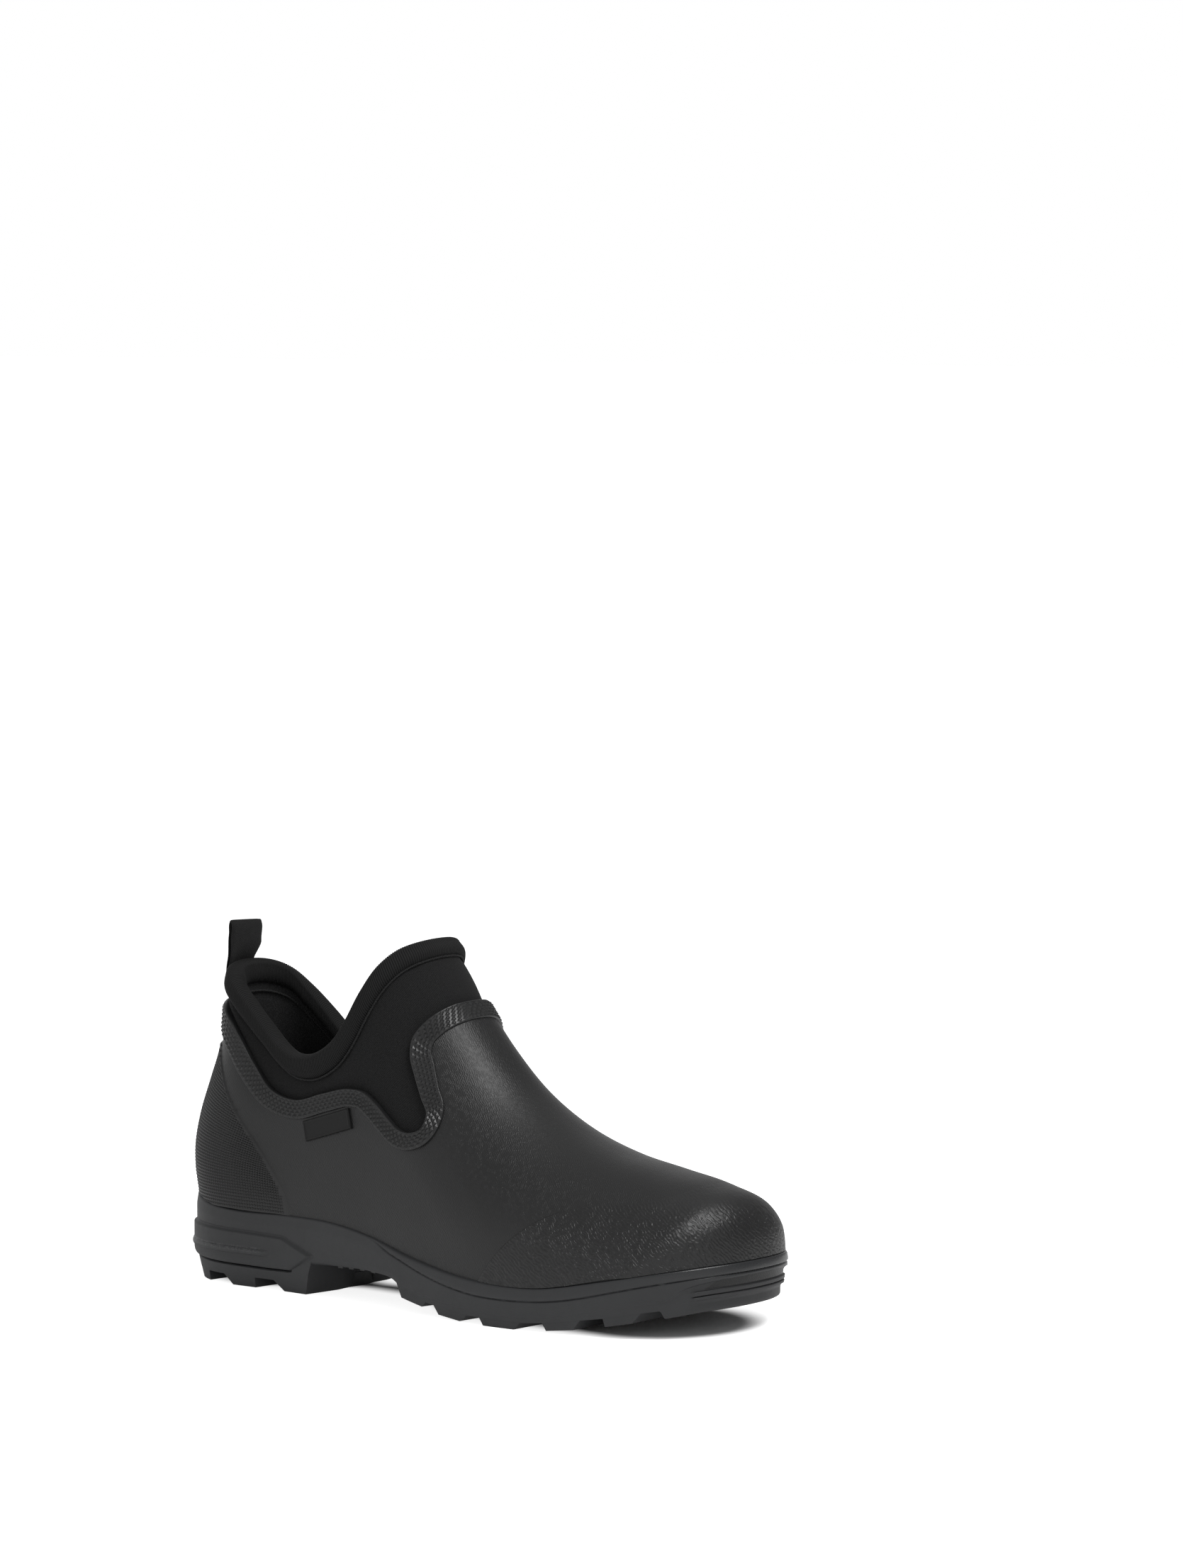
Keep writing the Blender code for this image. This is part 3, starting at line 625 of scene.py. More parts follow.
TRIM_SHEEN = {"Specular_IOR_Level": 0.3, "Sheen_Weight": 0.04}
DULL = {"Roughness": 0.95, "Specular_IOR_Level": 0.15}
FINISHES = {
    "shell_rubber": finish("grained_rubber", shell_look),
    "cap_rubber": finish("wrinkled_rubber", cap_look),
    "counter_rubber": finish("dotted_rubber", counter_look),
    "band_rubber": finish("scaled_rubber", band_look),
    "sole_rubber": finish("sole_rubber", sole_look),
    "label_rubber": finish("plain_rubber", label_look, Specular_IOR_Level=0.38),
    "neoprene": finish("neoprene_knit", knit_look, Roughness=0.9, Specular_IOR_Level=0.2, Sheen_Weight=0.03),
    "binding_elastic": finish("ribbed_elastic", elastic_look, Roughness=0.75, **TRIM_SHEEN),
    "piping": finish("twisted_cord", cord_look, Roughness=0.7, **TRIM_SHEEN),
    "webbing": finish("woven_tape", tape_look, Roughness=0.75, **TRIM_SHEEN),
    "lining": finish("inner_textile", lining_look, **DULL),
    "footbed_foam": finish("footbed_textile", footbed_look, **DULL),
}


def grid_faces(rows, columns, around=False, across=False):
    """Quads of a grid of points, closed along its columns or its rows where asked."""
    i = np.arange(rows if across else rows - 1)[:, None]
    j = np.arange(columns if around else columns - 1)[None]
    k = (i + 1) % rows
    m = (j + 1) % columns
    corners = np.broadcast_arrays(i * columns + j, i * columns + m, k * columns + m, k * columns + j)
    return np.stack(corners, -1).reshape(-1, 4).tolist()


def strip_caps(first, count):
    """Faces across a ring whose second half runs back beside its first."""
    half = count // 2
    strips = [(first, first + 1, first + count - 1)]
    for i in range(1, half - 1):
        strips.append((first + i, first + i + 1, first + count - i - 1, first + count - i))
    strips.append((first + half - 1, first + half, first + half + 1))
    return strips


def add_object(name, data):
    """A new object in the scene."""
    made = bpy.data.objects.new(name, data)
    bpy.context.scene.collection.objects.link(made)
    return made


def in_metres(points):
    """Points in metres from the middle of the boot."""
    return (np.asarray(points, float).reshape(-1, 3) - (MIDDLE_X, 0.0, 0.0)) * MM


def new_object(name, points, faces, look, uv=None, sharp=50.0):
    """A mesh object from points in millimetres, with an optional place on its cloth for each point."""
    mesh = bpy.data.meshes.new(name)
    mesh.from_pydata(in_metres(points).tolist(), [], faces)
    mesh.update()
    if uv is not None:
        layer = mesh.uv_layers.new(name="cloth")
        corner = np.empty(len(mesh.loops), int)
        mesh.loops.foreach_get("vertex_index", corner)
        layer.data.foreach_set("uv", np.asarray(uv, float).reshape(-1, 2)[corner].ravel())
    mesh.shade_smooth()
    mesh.set_sharp_from_angle(angle=math.radians(sharp))
    mesh.materials.append(look)
    return add_object(name, mesh)


def store(made, name, kind, values):
    """Keeps a number or a vector on each point of a mesh."""
    layer = made.data.attributes.new(name, kind, "POINT")
    key = "vector" if kind == "FLOAT_VECTOR" else "value"
    layer.data.foreach_set(key, np.ascontiguousarray(values, float).ravel())


def outward_faces(made):
    """Turns the faces of a closed mesh outwards."""
    work = bmesh.new()
    work.from_mesh(made.data)
    bmesh.ops.recalc_face_normals(work, faces=work.faces)
    work.to_mesh(made.data)
    work.free()


def settle(made, node=None):
    """Lets a finished piece ride on the boot, in place of a CAD node where it has one."""
    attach(made, "root")
    if node:
        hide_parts(node)


def thicken(made, wall):
    """Gives an open surface a wall inwards."""
    step = made.modifiers.new("wall", "SOLIDIFY")
    step.thickness = wall * MM
    step.offset = -1.0


def wrapped_uv(points):
    """Place on the cloth of a grid of rings: run round the middle ring, and height up each column."""
    middle = points[len(points) // 2]
    around = run_along(np.concatenate([middle, middle[:1]]))[:-1]
    up = run_along(points)
    return np.stack([np.broadcast_to(around, up.shape), up], -1)


def grow(made, build, values):
    """Runs a geometry tree on an object and keeps the result as a plain mesh."""
    tree = bpy.data.node_groups.new(made.name + "_tree", "GeometryNodeTree")
    tree.interface.new_socket("Geometry", in_out="INPUT", socket_type="NodeSocketGeometry")
    tree.interface.new_socket("Geometry", in_out="OUTPUT", socket_type="NodeSocketGeometry")
    keys = {}
    for name, value in values.items():
        kind = "NodeSocketMaterial" if isinstance(value, bpy.types.Material) else "NodeSocketFloat"
        keys[name] = tree.interface.new_socket(name, in_out="INPUT", socket_type=kind).identifier
    start = tree.nodes.new("NodeGroupInput")
    inputs = {socket.name: Wire(tree, socket) for socket in start.outputs if socket.name}
    ended = tree.nodes.new("NodeGroupOutput")
    tree.links.new(build(inputs).socket, ended.inputs[0])
    step = made.modifiers.new("grown", "NODES")
    step.node_group = tree
    for name, value in values.items():
        step[keys[name]] = value
    shape = made.evaluated_get(bpy.context.evaluated_depsgraph_get())
    mesh = bpy.data.meshes.new_from_object(shape)
    old = made.data
    made.modifiers.clear()
    if made.type == "MESH":
        made.data = mesh
        return made
    name = made.name
    bpy.data.objects.remove(made)
    bpy.data.curves.remove(old)
    return add_object(name, mesh)


def studs(inputs):
    """Small faceted studs on points, each turned to its own facing and run."""
    start = inputs["Geometry"]
    cone = start.node(
        "GeometryNodeMeshCone", {"fill_type": "NGON"},
        {"Vertices": 4, "Radius Top": inputs["Top"], "Radius Bottom": 1.0, "Depth": 1.0},
    )
    size = start.node(
        "ShaderNodeCombineXYZ", None, {"X": inputs["Length"], "Y": inputs["Width"], "Z": inputs["Height"]},
    )
    turn = start.node("ShaderNodeCombineXYZ", None, {"Z": inputs["Turn"]})
    cone = start.node("GeometryNodeTransform", None, {"Geometry": cone, "Rotation": turn})
    cone = start.node("GeometryNodeTransform", None, {"Geometry": cone, "Scale": size})
    axes = {"primary_axis": "Z", "secondary_axis": "X"}
    ways = {"Primary Axis": start.stored("facing", "FLOAT_VECTOR")}
    ways["Secondary Axis"] = start.stored("along", "FLOAT_VECTOR")
    turned = start.node("FunctionNodeAxesToRotation", axes, ways)
    spread = start.node(
        "GeometryNodeInstanceOnPoints", None, {"Points": start, "Instance": cone, "Rotation": turned},
    )
    plain = start.node("GeometryNodeRealizeInstances", None, {"Geometry": spread})
    return start.node("GeometryNodeSetMaterial", None, {"Geometry": plain, "Material": inputs["Look"]})


def stud_field(name, points, facing, along, look, sizes):
    """A piece made of studs at points, with their facing and run."""
    made = new_object(name, points, [], look)
    store(made, "facing", "FLOAT_VECTOR", facing)
    store(made, "along", "FLOAT_VECTOR", along)
    made = grow(made, studs, {**sizes, "Look": look})
    made.data.shade_flat()
    return made


# Camera at the photograph's angle: a point of the boot and the pixel where it lands
AIM = (150.0, 0.0, 70.0)
AIM_PIXEL = (690.5, 1599.0)
FRAME_PIXELS = (1669.0, 2212.0)
CAMERA_AZIMUTH = 37.9
CAMERA_ELEVATION = 7.95
CAMERA_DISTANCE = 2500.0
FOCAL_PIXELS = 8462.5
SENSOR = 36.0
CLIP = (0.1, 100.0)

# Floor: half its side in metres, its grey, its own glow and the share of that which lights the boot. The glow
# is left out under the boot as a painted shadow: it starts at an edge round the footprint, which has a middle x
# and a half width at the heel and at the ball, and is drawn in at the waist.
FLOOR_REACH = 30.0
FLOOR_GREY = (0.9, 0.9, 0.9, 1.0)
FLOOR_ROUGHNESS = 0.9
FLOOR_GLOW = 0.85
GLOW_LIGHT = 0.17
SHADOW_FOOTPRINT = ((-105.0, 36.0), (94.0, 50.0))
PAINTED_SHADOW_EDGE = (-17.0, -2.0)
SHADOW_WAIST_X = -40.0
SHADOW_WAIST_REACH = (60.0, 10.0)
SHADOW_WAIST_DEPTH = 24.0

# Surround: its strength at the horizon and high up, and on its dim side
HORIZON = 0.76
ZENITH = 0.34
ZENITH_HEIGHT = 0.85
DIM_SIDE = (0.5, 0.866)
DIM_EDGE = (0.35, 0.9)
DIMMED = 0.28
BLACK = (0.0, 0.0, 0.0, 1.0)
WHITE = (1.0, 1.0, 1.0, 1.0)

# Lights: name, place, target and size in metres, power in watts
LIGHTS = (
    ("main_softbox", (0.64, 0.0, 1.22), (0.03, 0.0, 0.05), (0.66, 0.55), 8.5),
)


def set_pose(made, right, up, back, place):
    """Turns and places a camera or a light."""
    pose = np.eye(4)
    pose[:3, 0], pose[:3, 1], pose[:3, 2], pose[:3, 3] = right, up, back, place
    made.matrix_world = Matrix(pose.tolist())


def make_camera():
    a = math.radians(CAMERA_AZIMUTH)
    e = math.radians(CAMERA_ELEVATION)
    back = np.array([math.sin(a) * math.cos(e), -math.cos(a) * math.cos(e), math.sin(e)])
    right = np.array([math.cos(a), math.sin(a), 0.0])
    up = np.cross(back, right)
    eye = np.array(AIM) + CAMERA_DISTANCE * back
    ahead = -back
    turn = math.atan((AIM_PIXEL[0] - FRAME_PIXELS[0] / 2) / FOCAL_PIXELS)
    nod = math.atan((AIM_PIXEL[1] - FRAME_PIXELS[1] / 2) / FOCAL_PIXELS)
    turned = ahead * math.cos(turn) - right * math.sin(turn)
    right = right * math.cos(turn) + ahead * math.sin(turn)
    ahead = turned * math.cos(nod) + up * math.sin(nod)
    up = up * math.cos(nod) - turned * math.sin(nod)
    data = bpy.data.cameras.new("camera")
    data.sensor_width = SENSOR
    data.lens = FOCAL_PIXELS / FRAME_PIXELS[1] * SENSOR
    data.clip_start, data.clip_end = CLIP
    made = add_object("camera", data)
    set_pose(made, right, up, -ahead, in_metres(eye)[0])
    bpy.context.scene.camera = made


def area_light(name, place, target, size, power):
    """A soft rectangular light at a place, turned to a target, in metres and watts."""
    data = bpy.data.lights.new(name, "AREA")
    data.shape = "RECTANGLE"
    data.size, data.size_y = size
    data.energy = power
    back = unit(np.array(place) - np.array(target))
    right = unit(np.cross((0.0, 0.0, 1.0), back))
    set_pose(add_object(name, data), right, np.cross(back, right), back, place)


def glow_with_painted_shadow(start):
    """The floor's own brightness, with a painted shadow: none under the boot, full a little way off it."""
    place = start.millimetres()
    (heel_x, heel_wide), (ball_x, ball_wide) = SHADOW_FOOTPRINT
    along = place.part(0)
    share = along.limited(heel_x, ball_x)
    off = along - (share * (ball_x - heel_x) + heel_x)
    waist = (along - SHADOW_WAIST_X).absolute().ramp(*SHADOW_WAIST_REACH)
    wide = share * (ball_wide - heel_wide) + heel_wide
    # painted shadow: the glow fades to nothing inside the boot's footprint, so the floor is dark under it
    away = (off ** 2.0 + place.part(1) ** 2.0) ** 0.5 - wide + waist * SHADOW_WAIST_DEPTH
    seen = start.node("ShaderNodeLightPath", out="Is Camera Ray")
    return (away.ramp(*PAINTED_SHADOW_EDGE) * (seen * (1 - GLOW_LIGHT) + GLOW_LIGHT)).mix(BLACK, WHITE)


def surround_glow(start):
    """White to the eye; as light, brightest at the horizon and dim on one side."""
    way = start.node("ShaderNodeTexCoord", out="Object")
    dim_side = way.part(0) * DIM_SIDE[0] + way.part(1) * DIM_SIDE[1]
    glow = way.part(2).ramp(0.0, ZENITH_HEIGHT, HORIZON, ZENITH) * dim_side.ramp(*DIM_EDGE, 1.0, DIMMED)
    seen = start.node("ShaderNodeLightPath", out="Is Camera Ray")
    return (seen * (1.0 - glow) + glow).mix(BLACK, WHITE)


def make_studio():
    """Pale floor, white surround and a soft light."""
    mesh = bpy.data.meshes.new("floor")
    corners = [(x * FLOOR_REACH, y * FLOOR_REACH, 0) for x, y in ((-1, -1), (1, -1), (1, 1), (-1, 1))]
    mesh.from_pydata(corners, [], [(0, 1, 2, 3)])
    look = bpy.data.materials.new("pale_floor")
    look.use_nodes = True
    shader = look.node_tree.nodes["Principled BSDF"]
    shader.inputs["Base Color"].default_value = FLOOR_GREY
    shader.inputs["Roughness"].default_value = FLOOR_ROUGHNESS
    shader.inputs["Specular IOR Level"].default_value = 0.0
    shader.inputs["Emission Strength"].default_value = FLOOR_GLOW
    look.node_tree.links.new(glow_with_painted_shadow(Wire(look.node_tree)).socket, shader.inputs["Emission Color"])
    mesh.materials.append(look)
    floor = add_object("floor", mesh)
    world = bpy.data.worlds.new("surround")
    world.use_nodes = True
    ended = world.node_tree.nodes["Background"]
    world.node_tree.links.new(surround_glow(Wire(world.node_tree)).socket, ended.inputs["Color"])
    bpy.context.scene.world = world
    for name, place, target, size, power in LIGHTS:
        area_light(name, place, target, size, power)
    bpy.context.scene.view_settings.view_transform = "Standard"
    bpy.context.scene.view_settings.look = "None"


# Rows of the band, in shares of its width, with their height over the base form; and the share where the shell
# ends below it
BAND_SECTION = (
    (-0.005, -0.3), (-0.015, 1.4), (-0.01, 2.2), (0.005, 2.75), (0.03, 3.05), (0.06, 3.12), (0.09, 3.08),
    (0.12, 3.02), (0.2, 3.0), (0.35, 3.0), (0.5, 3.0), (0.65, 3.0), (0.8, 3.0), (0.88, 3.0),
    (0.93, 3.04), (0.96, 3.0), (0.985, 2.8), (0.998, 2.4), (1.005, 1.6), (0.9, 1.2), (0.5, 1.2), (0.1, 0.9),
)
SHELL_END = 0.4
BAND_SAMPLES = 700
BAND_COLUMNS = 900
SCALE_PITCH = 2.7
SCALE_ROWS = 5
SCALE_OUT = 2.98
SCALE_MARGIN = 0.15
SCALE_SIZES = {"Length": 1.42 * MM, "Width": 1.12 * MM, "Height": 0.62 * MM, "Top": 0.18, "Turn": 0.0}


def band_course():
    """Angle and level of the band's upper and lower edge, all round the boot."""
    rows = curve_through(BAND_EDGE)(np.linspace(0, 1, BAND_SAMPLES))
    upper = rows[:, :2]
    along = unit(np.gradient(upper, axis=0))
    lower = upper + np.stack([along[:, 1], -along[:, 0]], -1) * rows[:, 2:]
    edges = [locate(upper), locate(lower)]
    inside = (edges[0][2] < MISS_LIMIT) & (edges[1][2] < MISS_LIMIT)
    kept = np.nonzero(inside)[0]
    first, last = kept[0], kept[-1] + 1
    course = []
    for angle, level, _ in edges:
        angle = np.r_[0.0, angle[first + 1:last - 1], math.pi]
        level = level[first:last]
        course.append(np.r_[angle, (TAU - angle)[-2:0:-1]])
        course.append(np.r_[level, level[-2:0:-1]])
    return np.array(course)


def even_course(course, count):
    """The band's course again, at even steps along its middle; and its length."""
    closed = np.concatenate([course, course[:, :1]], 1)
    closed[[0, 2], -1] = TAU
    middle = form_point((closed[0] + closed[2]) / 2, (closed[1] + closed[3]) / 2)
    run = run_along(middle)
    steps = np.linspace(0, run[-1], count, endpoint=False)
    return np.array([np.interp(steps, run, values) for values in closed]), run[-1]


def across_band(course, share):
    """Angle and level at a share of the band's width."""
    return course[0] * (1 - share) + course[2] * share, course[1] * (1 - share) + course[3] * share


COURSE = band_course()
SIDE_COURSE = COURSE[:, :COURSE.shape[1] // 2 + 1]


def band_level(share):
    """Level of a line along the band as a function of the angle."""
    angle, level = across_band(SIDE_COURSE, share)
    order = np.argsort(angle)
    angle, level = angle[order], level[order]
    return lambda a: np.interp(np.minimum(a % TAU, TAU - a % TAU), angle, level)


def make_band():
    """Raised band along the shell's top edge, with rows of scales on it."""
    course, length = even_course(COURSE, BAND_COLUMNS)
    rows = np.array([on_form(*across_band(course, share), out) for share, out in BAND_SECTION])
    faces = grid_faces(len(rows), BAND_COLUMNS, True, True)
    made = new_object("top_band", rows, faces, FINISHES["band_rubber"], sharp=75.0)
    outward_faces(made)
    settle(made, "top_band")
    count = round(length / SCALE_PITCH)
    half_steps, _ = even_course(COURSE, 2 * count)
    points, facing, along = [], [], []
    for row in range(SCALE_ROWS):
        course = half_steps[:, row % 2::2]
        share = SCALE_MARGIN + (1 - 2 * SCALE_MARGIN) * row / (SCALE_ROWS - 1)
        angle, level = across_band(course, share)
        line = on_form(angle, level, SCALE_OUT)
        points.append(line)
        facing.append(form_normal(angle, level))
        along.append(unit(np.roll(line, -1, 0) - np.roll(line, 1, 0)))
    made = stud_field(
        "band_scales", np.concatenate(points), np.concatenate(facing), np.concatenate(along),
        FINISHES["band_rubber"], SCALE_SIZES,
    )
    settle(made)


SHELL_COLUMNS = 420
SHELL_ROWS = 110
SHELL_EASE = 1.3

# Soft creases on the shell: middle x, z, reach along, reach across, tilt in degrees, height, side.
# They bend a little and fade out towards the middle.
CREASES = (
    (158.0, 62.0, 26.0, 3.4, -38.0, -0.14, -1), (168.0, 56.0, 24.0, 3.0, -34.0, 0.1, -1),
    (150.0, 55.0, 22.0, 4.0, -42.0, 0.1, -1), (120.0, 64.0, 18.0, 4.0, -20.0, -0.1, -1),
    (60.0, 66.0, 20.0, 5.0, 25.0, -0.12, -1), (196.0, 52.0, 22.0, 3.5, -24.0, -0.1, -1),
    (160.0, 60.0, 26.0, 3.4, -36.0, -0.14, 1), (170.0, 53.0, 24.0, 3.0, -32.0, 0.1, 1),
    (120.0, 62.0, 18.0, 4.0, -18.0, -0.1, 1), (62.0, 64.0, 20.0, 5.0, 22.0, -0.12, 1),
)
CREASE_BEND = 0.006
CREASE_FADE = 4.0


def creased(points):
    """Height of the soft troughs and ridges at points of the shell."""
    total = np.zeros(points.shape[:-1])
    for x, z, reach, narrow, tilt, height, side in CREASES:
        a = math.radians(tilt)
        along = (points[..., 0] - x) * math.cos(a) + (points[..., 2] - z) * math.sin(a)
        across = (points[..., 2] - z) * math.cos(a) - (points[..., 0] - x) * math.sin(a)
        across = across + CREASE_BEND * along * along
        bump = hump(along, reach) * hump(across, narrow)
        total += height * bump * ease(-CREASE_FADE, CREASE_FADE, side * points[..., 1])
    return total


def make_shell():
    """Rubber shell from the sole up under the band."""
    angle = np.linspace(0, TAU, SHELL_COLUMNS, endpoint=False)
    share = np.linspace(0, 1, SHELL_ROWS)[:, None] ** SHELL_EASE
    level = share * band_level(SHELL_END)(angle)
    wide = np.broadcast_to(angle, level.shape)
    points = on_form(wide, level, SHELL_OUT + creased(form_point(wide, level)))
    faces = grid_faces(SHELL_ROWS, SHELL_COLUMNS, True)
    made = new_object("rubber_upper", points, faces, FINISHES["shell_rubber"])
    thicken(made, SHELL_WALL)
    settle(made, "rubber_upper")


# Collar: rows from a level up, how far it puffs out between band and binding, and the channel under the binding
COLLAR_COLUMNS = 360
COLLAR_ROWS = 70
COLLAR_LOW = 0.4
COLLAR_PUFF = 0.8
PUFF_POWER = 0.8
CHANNEL_DEPTH = 9.6
CHANNEL = 0.35
CHANNEL_EDGE = 0.985
LEAST_ROOM = 0.02


def make_collar():
    """Neoprene sleeve from inside the shell up to the top line."""
    angle = np.linspace(0, TAU, COLLAR_COLUMNS, endpoint=False)
    level = np.linspace(COLLAR_LOW, 1, COLLAR_ROWS)[:, None] + 0 * angle
    band = band_level(0.0)(angle)
    bound = level_below_top(angle, CHANNEL_DEPTH)
    share = np.clip((level - band) / np.maximum(bound - band, LEAST_ROOM), 0, 1)
    out = COLLAR_PUFF * np.sin(math.pi * share) ** PUFF_POWER - CHANNEL * ease(CHANNEL_EDGE, 1.0, share)
    points = on_form(np.broadcast_to(angle, level.shape), level, out)
    faces = grid_faces(COLLAR_ROWS, COLLAR_COLUMNS, True)
    made = new_object("neoprene_collar", points, faces, FINISHES["neoprene"], wrapped_uv(points))
    thicken(made, COLLAR_WALL)
    settle(made, "neoprene_collar")


# Lining: height of its foot over the bed, and depth of its top below the top line
LINING_ROWS = 30
LINING_LOW = 4.2
LINING_TOP = 4.0


def make_lining():
    """Inner textile from the binding down to the footbed."""
    angle = np.linspace(0, TAU, COLLAR_COLUMNS, endpoint=False)
    low = level_at_height(angle, LINING_LOW)
    high = level_below_top(angle, LINING_TOP)
    level = low + np.linspace(0, 1, LINING_ROWS)[:, None] * (high - low)
    points = on_form(np.broadcast_to(angle, level.shape), level, LINING_OUT)
    faces = grid_faces(LINING_ROWS, COLLAR_COLUMNS, True)
    made = new_object("inner_lining", points, faces, FINISHES["lining"], wrapped_uv(points))
    thicken(made, LINING_WALL)
    settle(made)


# Binding: ribs, crown, and skirts as rows of depth below the top line and height over the base form
RIB_PITCH = 0.95
RIB_COLUMNS = 6
RIB_DEPTH = 0.32
RIB_POWER = 0.6
BINDING_OUT = 2.2
BINDING_IN = -COLLAR_WALL - 2.2
CROWN_RISE = 2.2
CROWN_ROWS = 15
CROWN_SLOPE = 0.97
OUTER_SKIRT = (
    (7.8, 0.2), (7.8, 0.9), (7.4, 1.6), (6.5, 2.3), (5.4, 2.7), (4.2, 2.85), (2.8, 2.75), (1.3, 2.45),
)
HIDDEN_SKIRT = ((4.5, -2.6), (1.5, -2.2), (1.5, -0.6), (4.5, -0.3))
COLLAR_SAMPLES = 721


def ribbed(inputs):
    """Ribs: the surface rises along its normal in waves of the run stored on it."""
    start = inputs["Geometry"]
    wave = (start.stored("run", "FLOAT") * math.pi).sine().absolute() ** RIB_POWER
    lift = wave * start.stored("free", "FLOAT") * inputs["Depth"]
    offset = start.node("GeometryNodeInputNormal").times(lift)
    return start.node("GeometryNodeSetPosition", None, {"Geometry": start, "Offset": offset})


def make_binding():
    """Ribbed elastic folded over the top line."""
    coarse, run = angles_and_run(lambda a: form_point(a, np.ones_like(a)), COLLAR_SAMPLES)
    count = round(run[-1] / RIB_PITCH) * RIB_COLUMNS
    angle = even_steps(run, coarse, count)
    rows = [(level_below_top(angle, depth), out, 0.0) for depth, out in OUTER_SKIRT]
    middle = (BINDING_OUT + BINDING_IN) / 2
    half = (BINDING_OUT - BINDING_IN) / 2
    for turn in np.linspace(0, math.pi, CROWN_ROWS):
        rows.append((np.ones(count), middle + half * math.cos(turn), CROWN_RISE * math.sin(turn)))
    inner = [(depth, BINDING_IN + BINDING_OUT - out) for depth, out in OUTER_SKIRT[::-1]]
    rows += [(level_below_top(angle, depth), out, 0.0) for depth, out in inner]
    seen = len(rows)
    rows += [(level_below_top(angle, depth), out, 0.0) for depth, out in HIDDEN_SKIRT]
    rise = unit(form_point(angle, np.ones(count)) - form_point(angle, np.full(count, CROWN_SLOPE)))
    upright = unit(rise + np.array([0.0, 0.0, 1.0]))
    points = np.array([on_form(angle, level, out) + up * upright for level, out, up in rows])
    ribs = np.broadcast_to(np.arange(count) / RIB_COLUMNS, points.shape[:2])
    across = np.broadcast_to(run_along(points[:, 0])[:, None], points.shape[:2])
    faces = grid_faces(len(rows), count, True, True)
    uv = np.stack([ribs, across], -1)
    made = new_object("collar_binding", points, faces, FINISHES["binding_elastic"], uv, 80.0)
    outward_faces(made)
    free = np.zeros(len(rows))
    free[1:seen - 1] = 1.0
    store(made, "run", "FLOAT", ribs)
    store(made, "free", "FLOAT", np.broadcast_to(free[:, None], points.shape[:2]))
    made = grow(made, ribbed, {"Depth": RIB_DEPTH * MM})
    settle(made, "collar_binding")


# Piping: length of a turn, points round the collar, strands and their spread; depth and height of each cord
CORD_TURN = 1.7
CORD_STEPS = 1500
CORD_SPREAD = 0.24
CORD_STRAND = 0.32
STRAND_SIDES = 7
CORD_LINES = (("outer_piping", 8.7, 0.5), ("inner_piping", 11.4, -4.2))


def twisted(inputs):
    """Two strands wound round a curve."""
    start = inputs["Geometry"]
    run = start.node("GeometryNodeSplineParameter", out="Length")
    normal = start.node("GeometryNodeInputNormal")
    tangent = start.node("GeometryNodeInputTangent")
    side = start.node("ShaderNodeVectorMath", {"operation": "CROSS_PRODUCT"}, {0: normal, 1: tangent})
    sizes = {"Resolution": STRAND_SIDES, "Radius": inputs["Strand"]}
    circle = start.node("GeometryNodeCurvePrimitiveCircle", None, sizes)
    strands = start.node("GeometryNodeJoinGeometry")
    join = strands.socket.node
    for phase in (0.0, math.pi):
        turn = run * (TAU / (CORD_TURN * MM)) + phase
        first = normal.times(turn.sine() * inputs["Spread"])
        second = side.times((turn + math.pi / 2).sine() * inputs["Spread"])
        offset = start.node("ShaderNodeVectorMath", {"operation": "ADD"}, {0: first, 1: second})
        moved = start.node("GeometryNodeSetPosition", None, {"Geometry": start, "Offset": offset})
        tube = start.node("GeometryNodeCurveToMesh", None, {"Curve": moved, "Profile Curve": circle})
        start.tree.links.new(tube.socket, join.inputs[0])
    plain = start.node("GeometryNodeRealizeInstances", None, {"Geometry": strands})
    return start.node("GeometryNodeSetMaterial", None, {"Geometry": plain, "Material": inputs["Look"]})


def make_piping():
    """Twisted cords under the binding, outside and inside."""
    sizes = {"Spread": CORD_SPREAD * MM, "Strand": CORD_STRAND * MM, "Look": FINISHES["piping"]}
    for name, depth, out in CORD_LINES:
        def cord(a):
            return on_form(a, level_below_top(a, depth), out)

        coarse, run = angles_and_run(cord, COLLAR_SAMPLES)
        points = cord(even_steps(run, coarse, CORD_STEPS))
        data = bpy.data.curves.new(name, "CURVE")
        data.dimensions = "3D"
        spline = data.splines.new("POLY")
        spline.points.add(CORD_STEPS - 1)
        spline.points.foreach_set("co", np.c_[in_metres(points), np.ones(CORD_STEPS)].ravel())
        spline.use_cyclic_u = True
        made = grow(add_object(name, data), twisted, sizes)
        made.data.shade_smooth()
        settle(made)


def overlay(name, angle, level, out, look):
    """A closed body over the shell from a grid of places and the height of each, buried in it below."""
    rows, columns = angle.shape
    top = on_form(angle, level, out)
    under = on_form(angle, level, BURIED)
    count = rows * columns
    faces = grid_faces(rows, columns)
    faces += [[count + i for i in face[::-1]] for face in faces]
    edge = border(rows, columns)
    for a, b in zip(edge, np.roll(edge, -1)):
        faces.append([int(b), int(a), int(a) + count, int(b) + count])
    points = np.concatenate([top.reshape(-1, 3), under.reshape(-1, 3)])
    made = new_object(name, points, faces, look)
    outward_faces(made)
    return made


def border(rows, columns):
    """Point numbers round the edge of a grid."""
    first = np.arange(columns)
    right = np.arange(1, rows) * columns + columns - 1
    last = (rows - 1) * columns + np.arange(columns - 2, -1, -1)
    left = np.arange(rows - 2, 0, -1) * columns
    return np.r_[first, right, last, left]


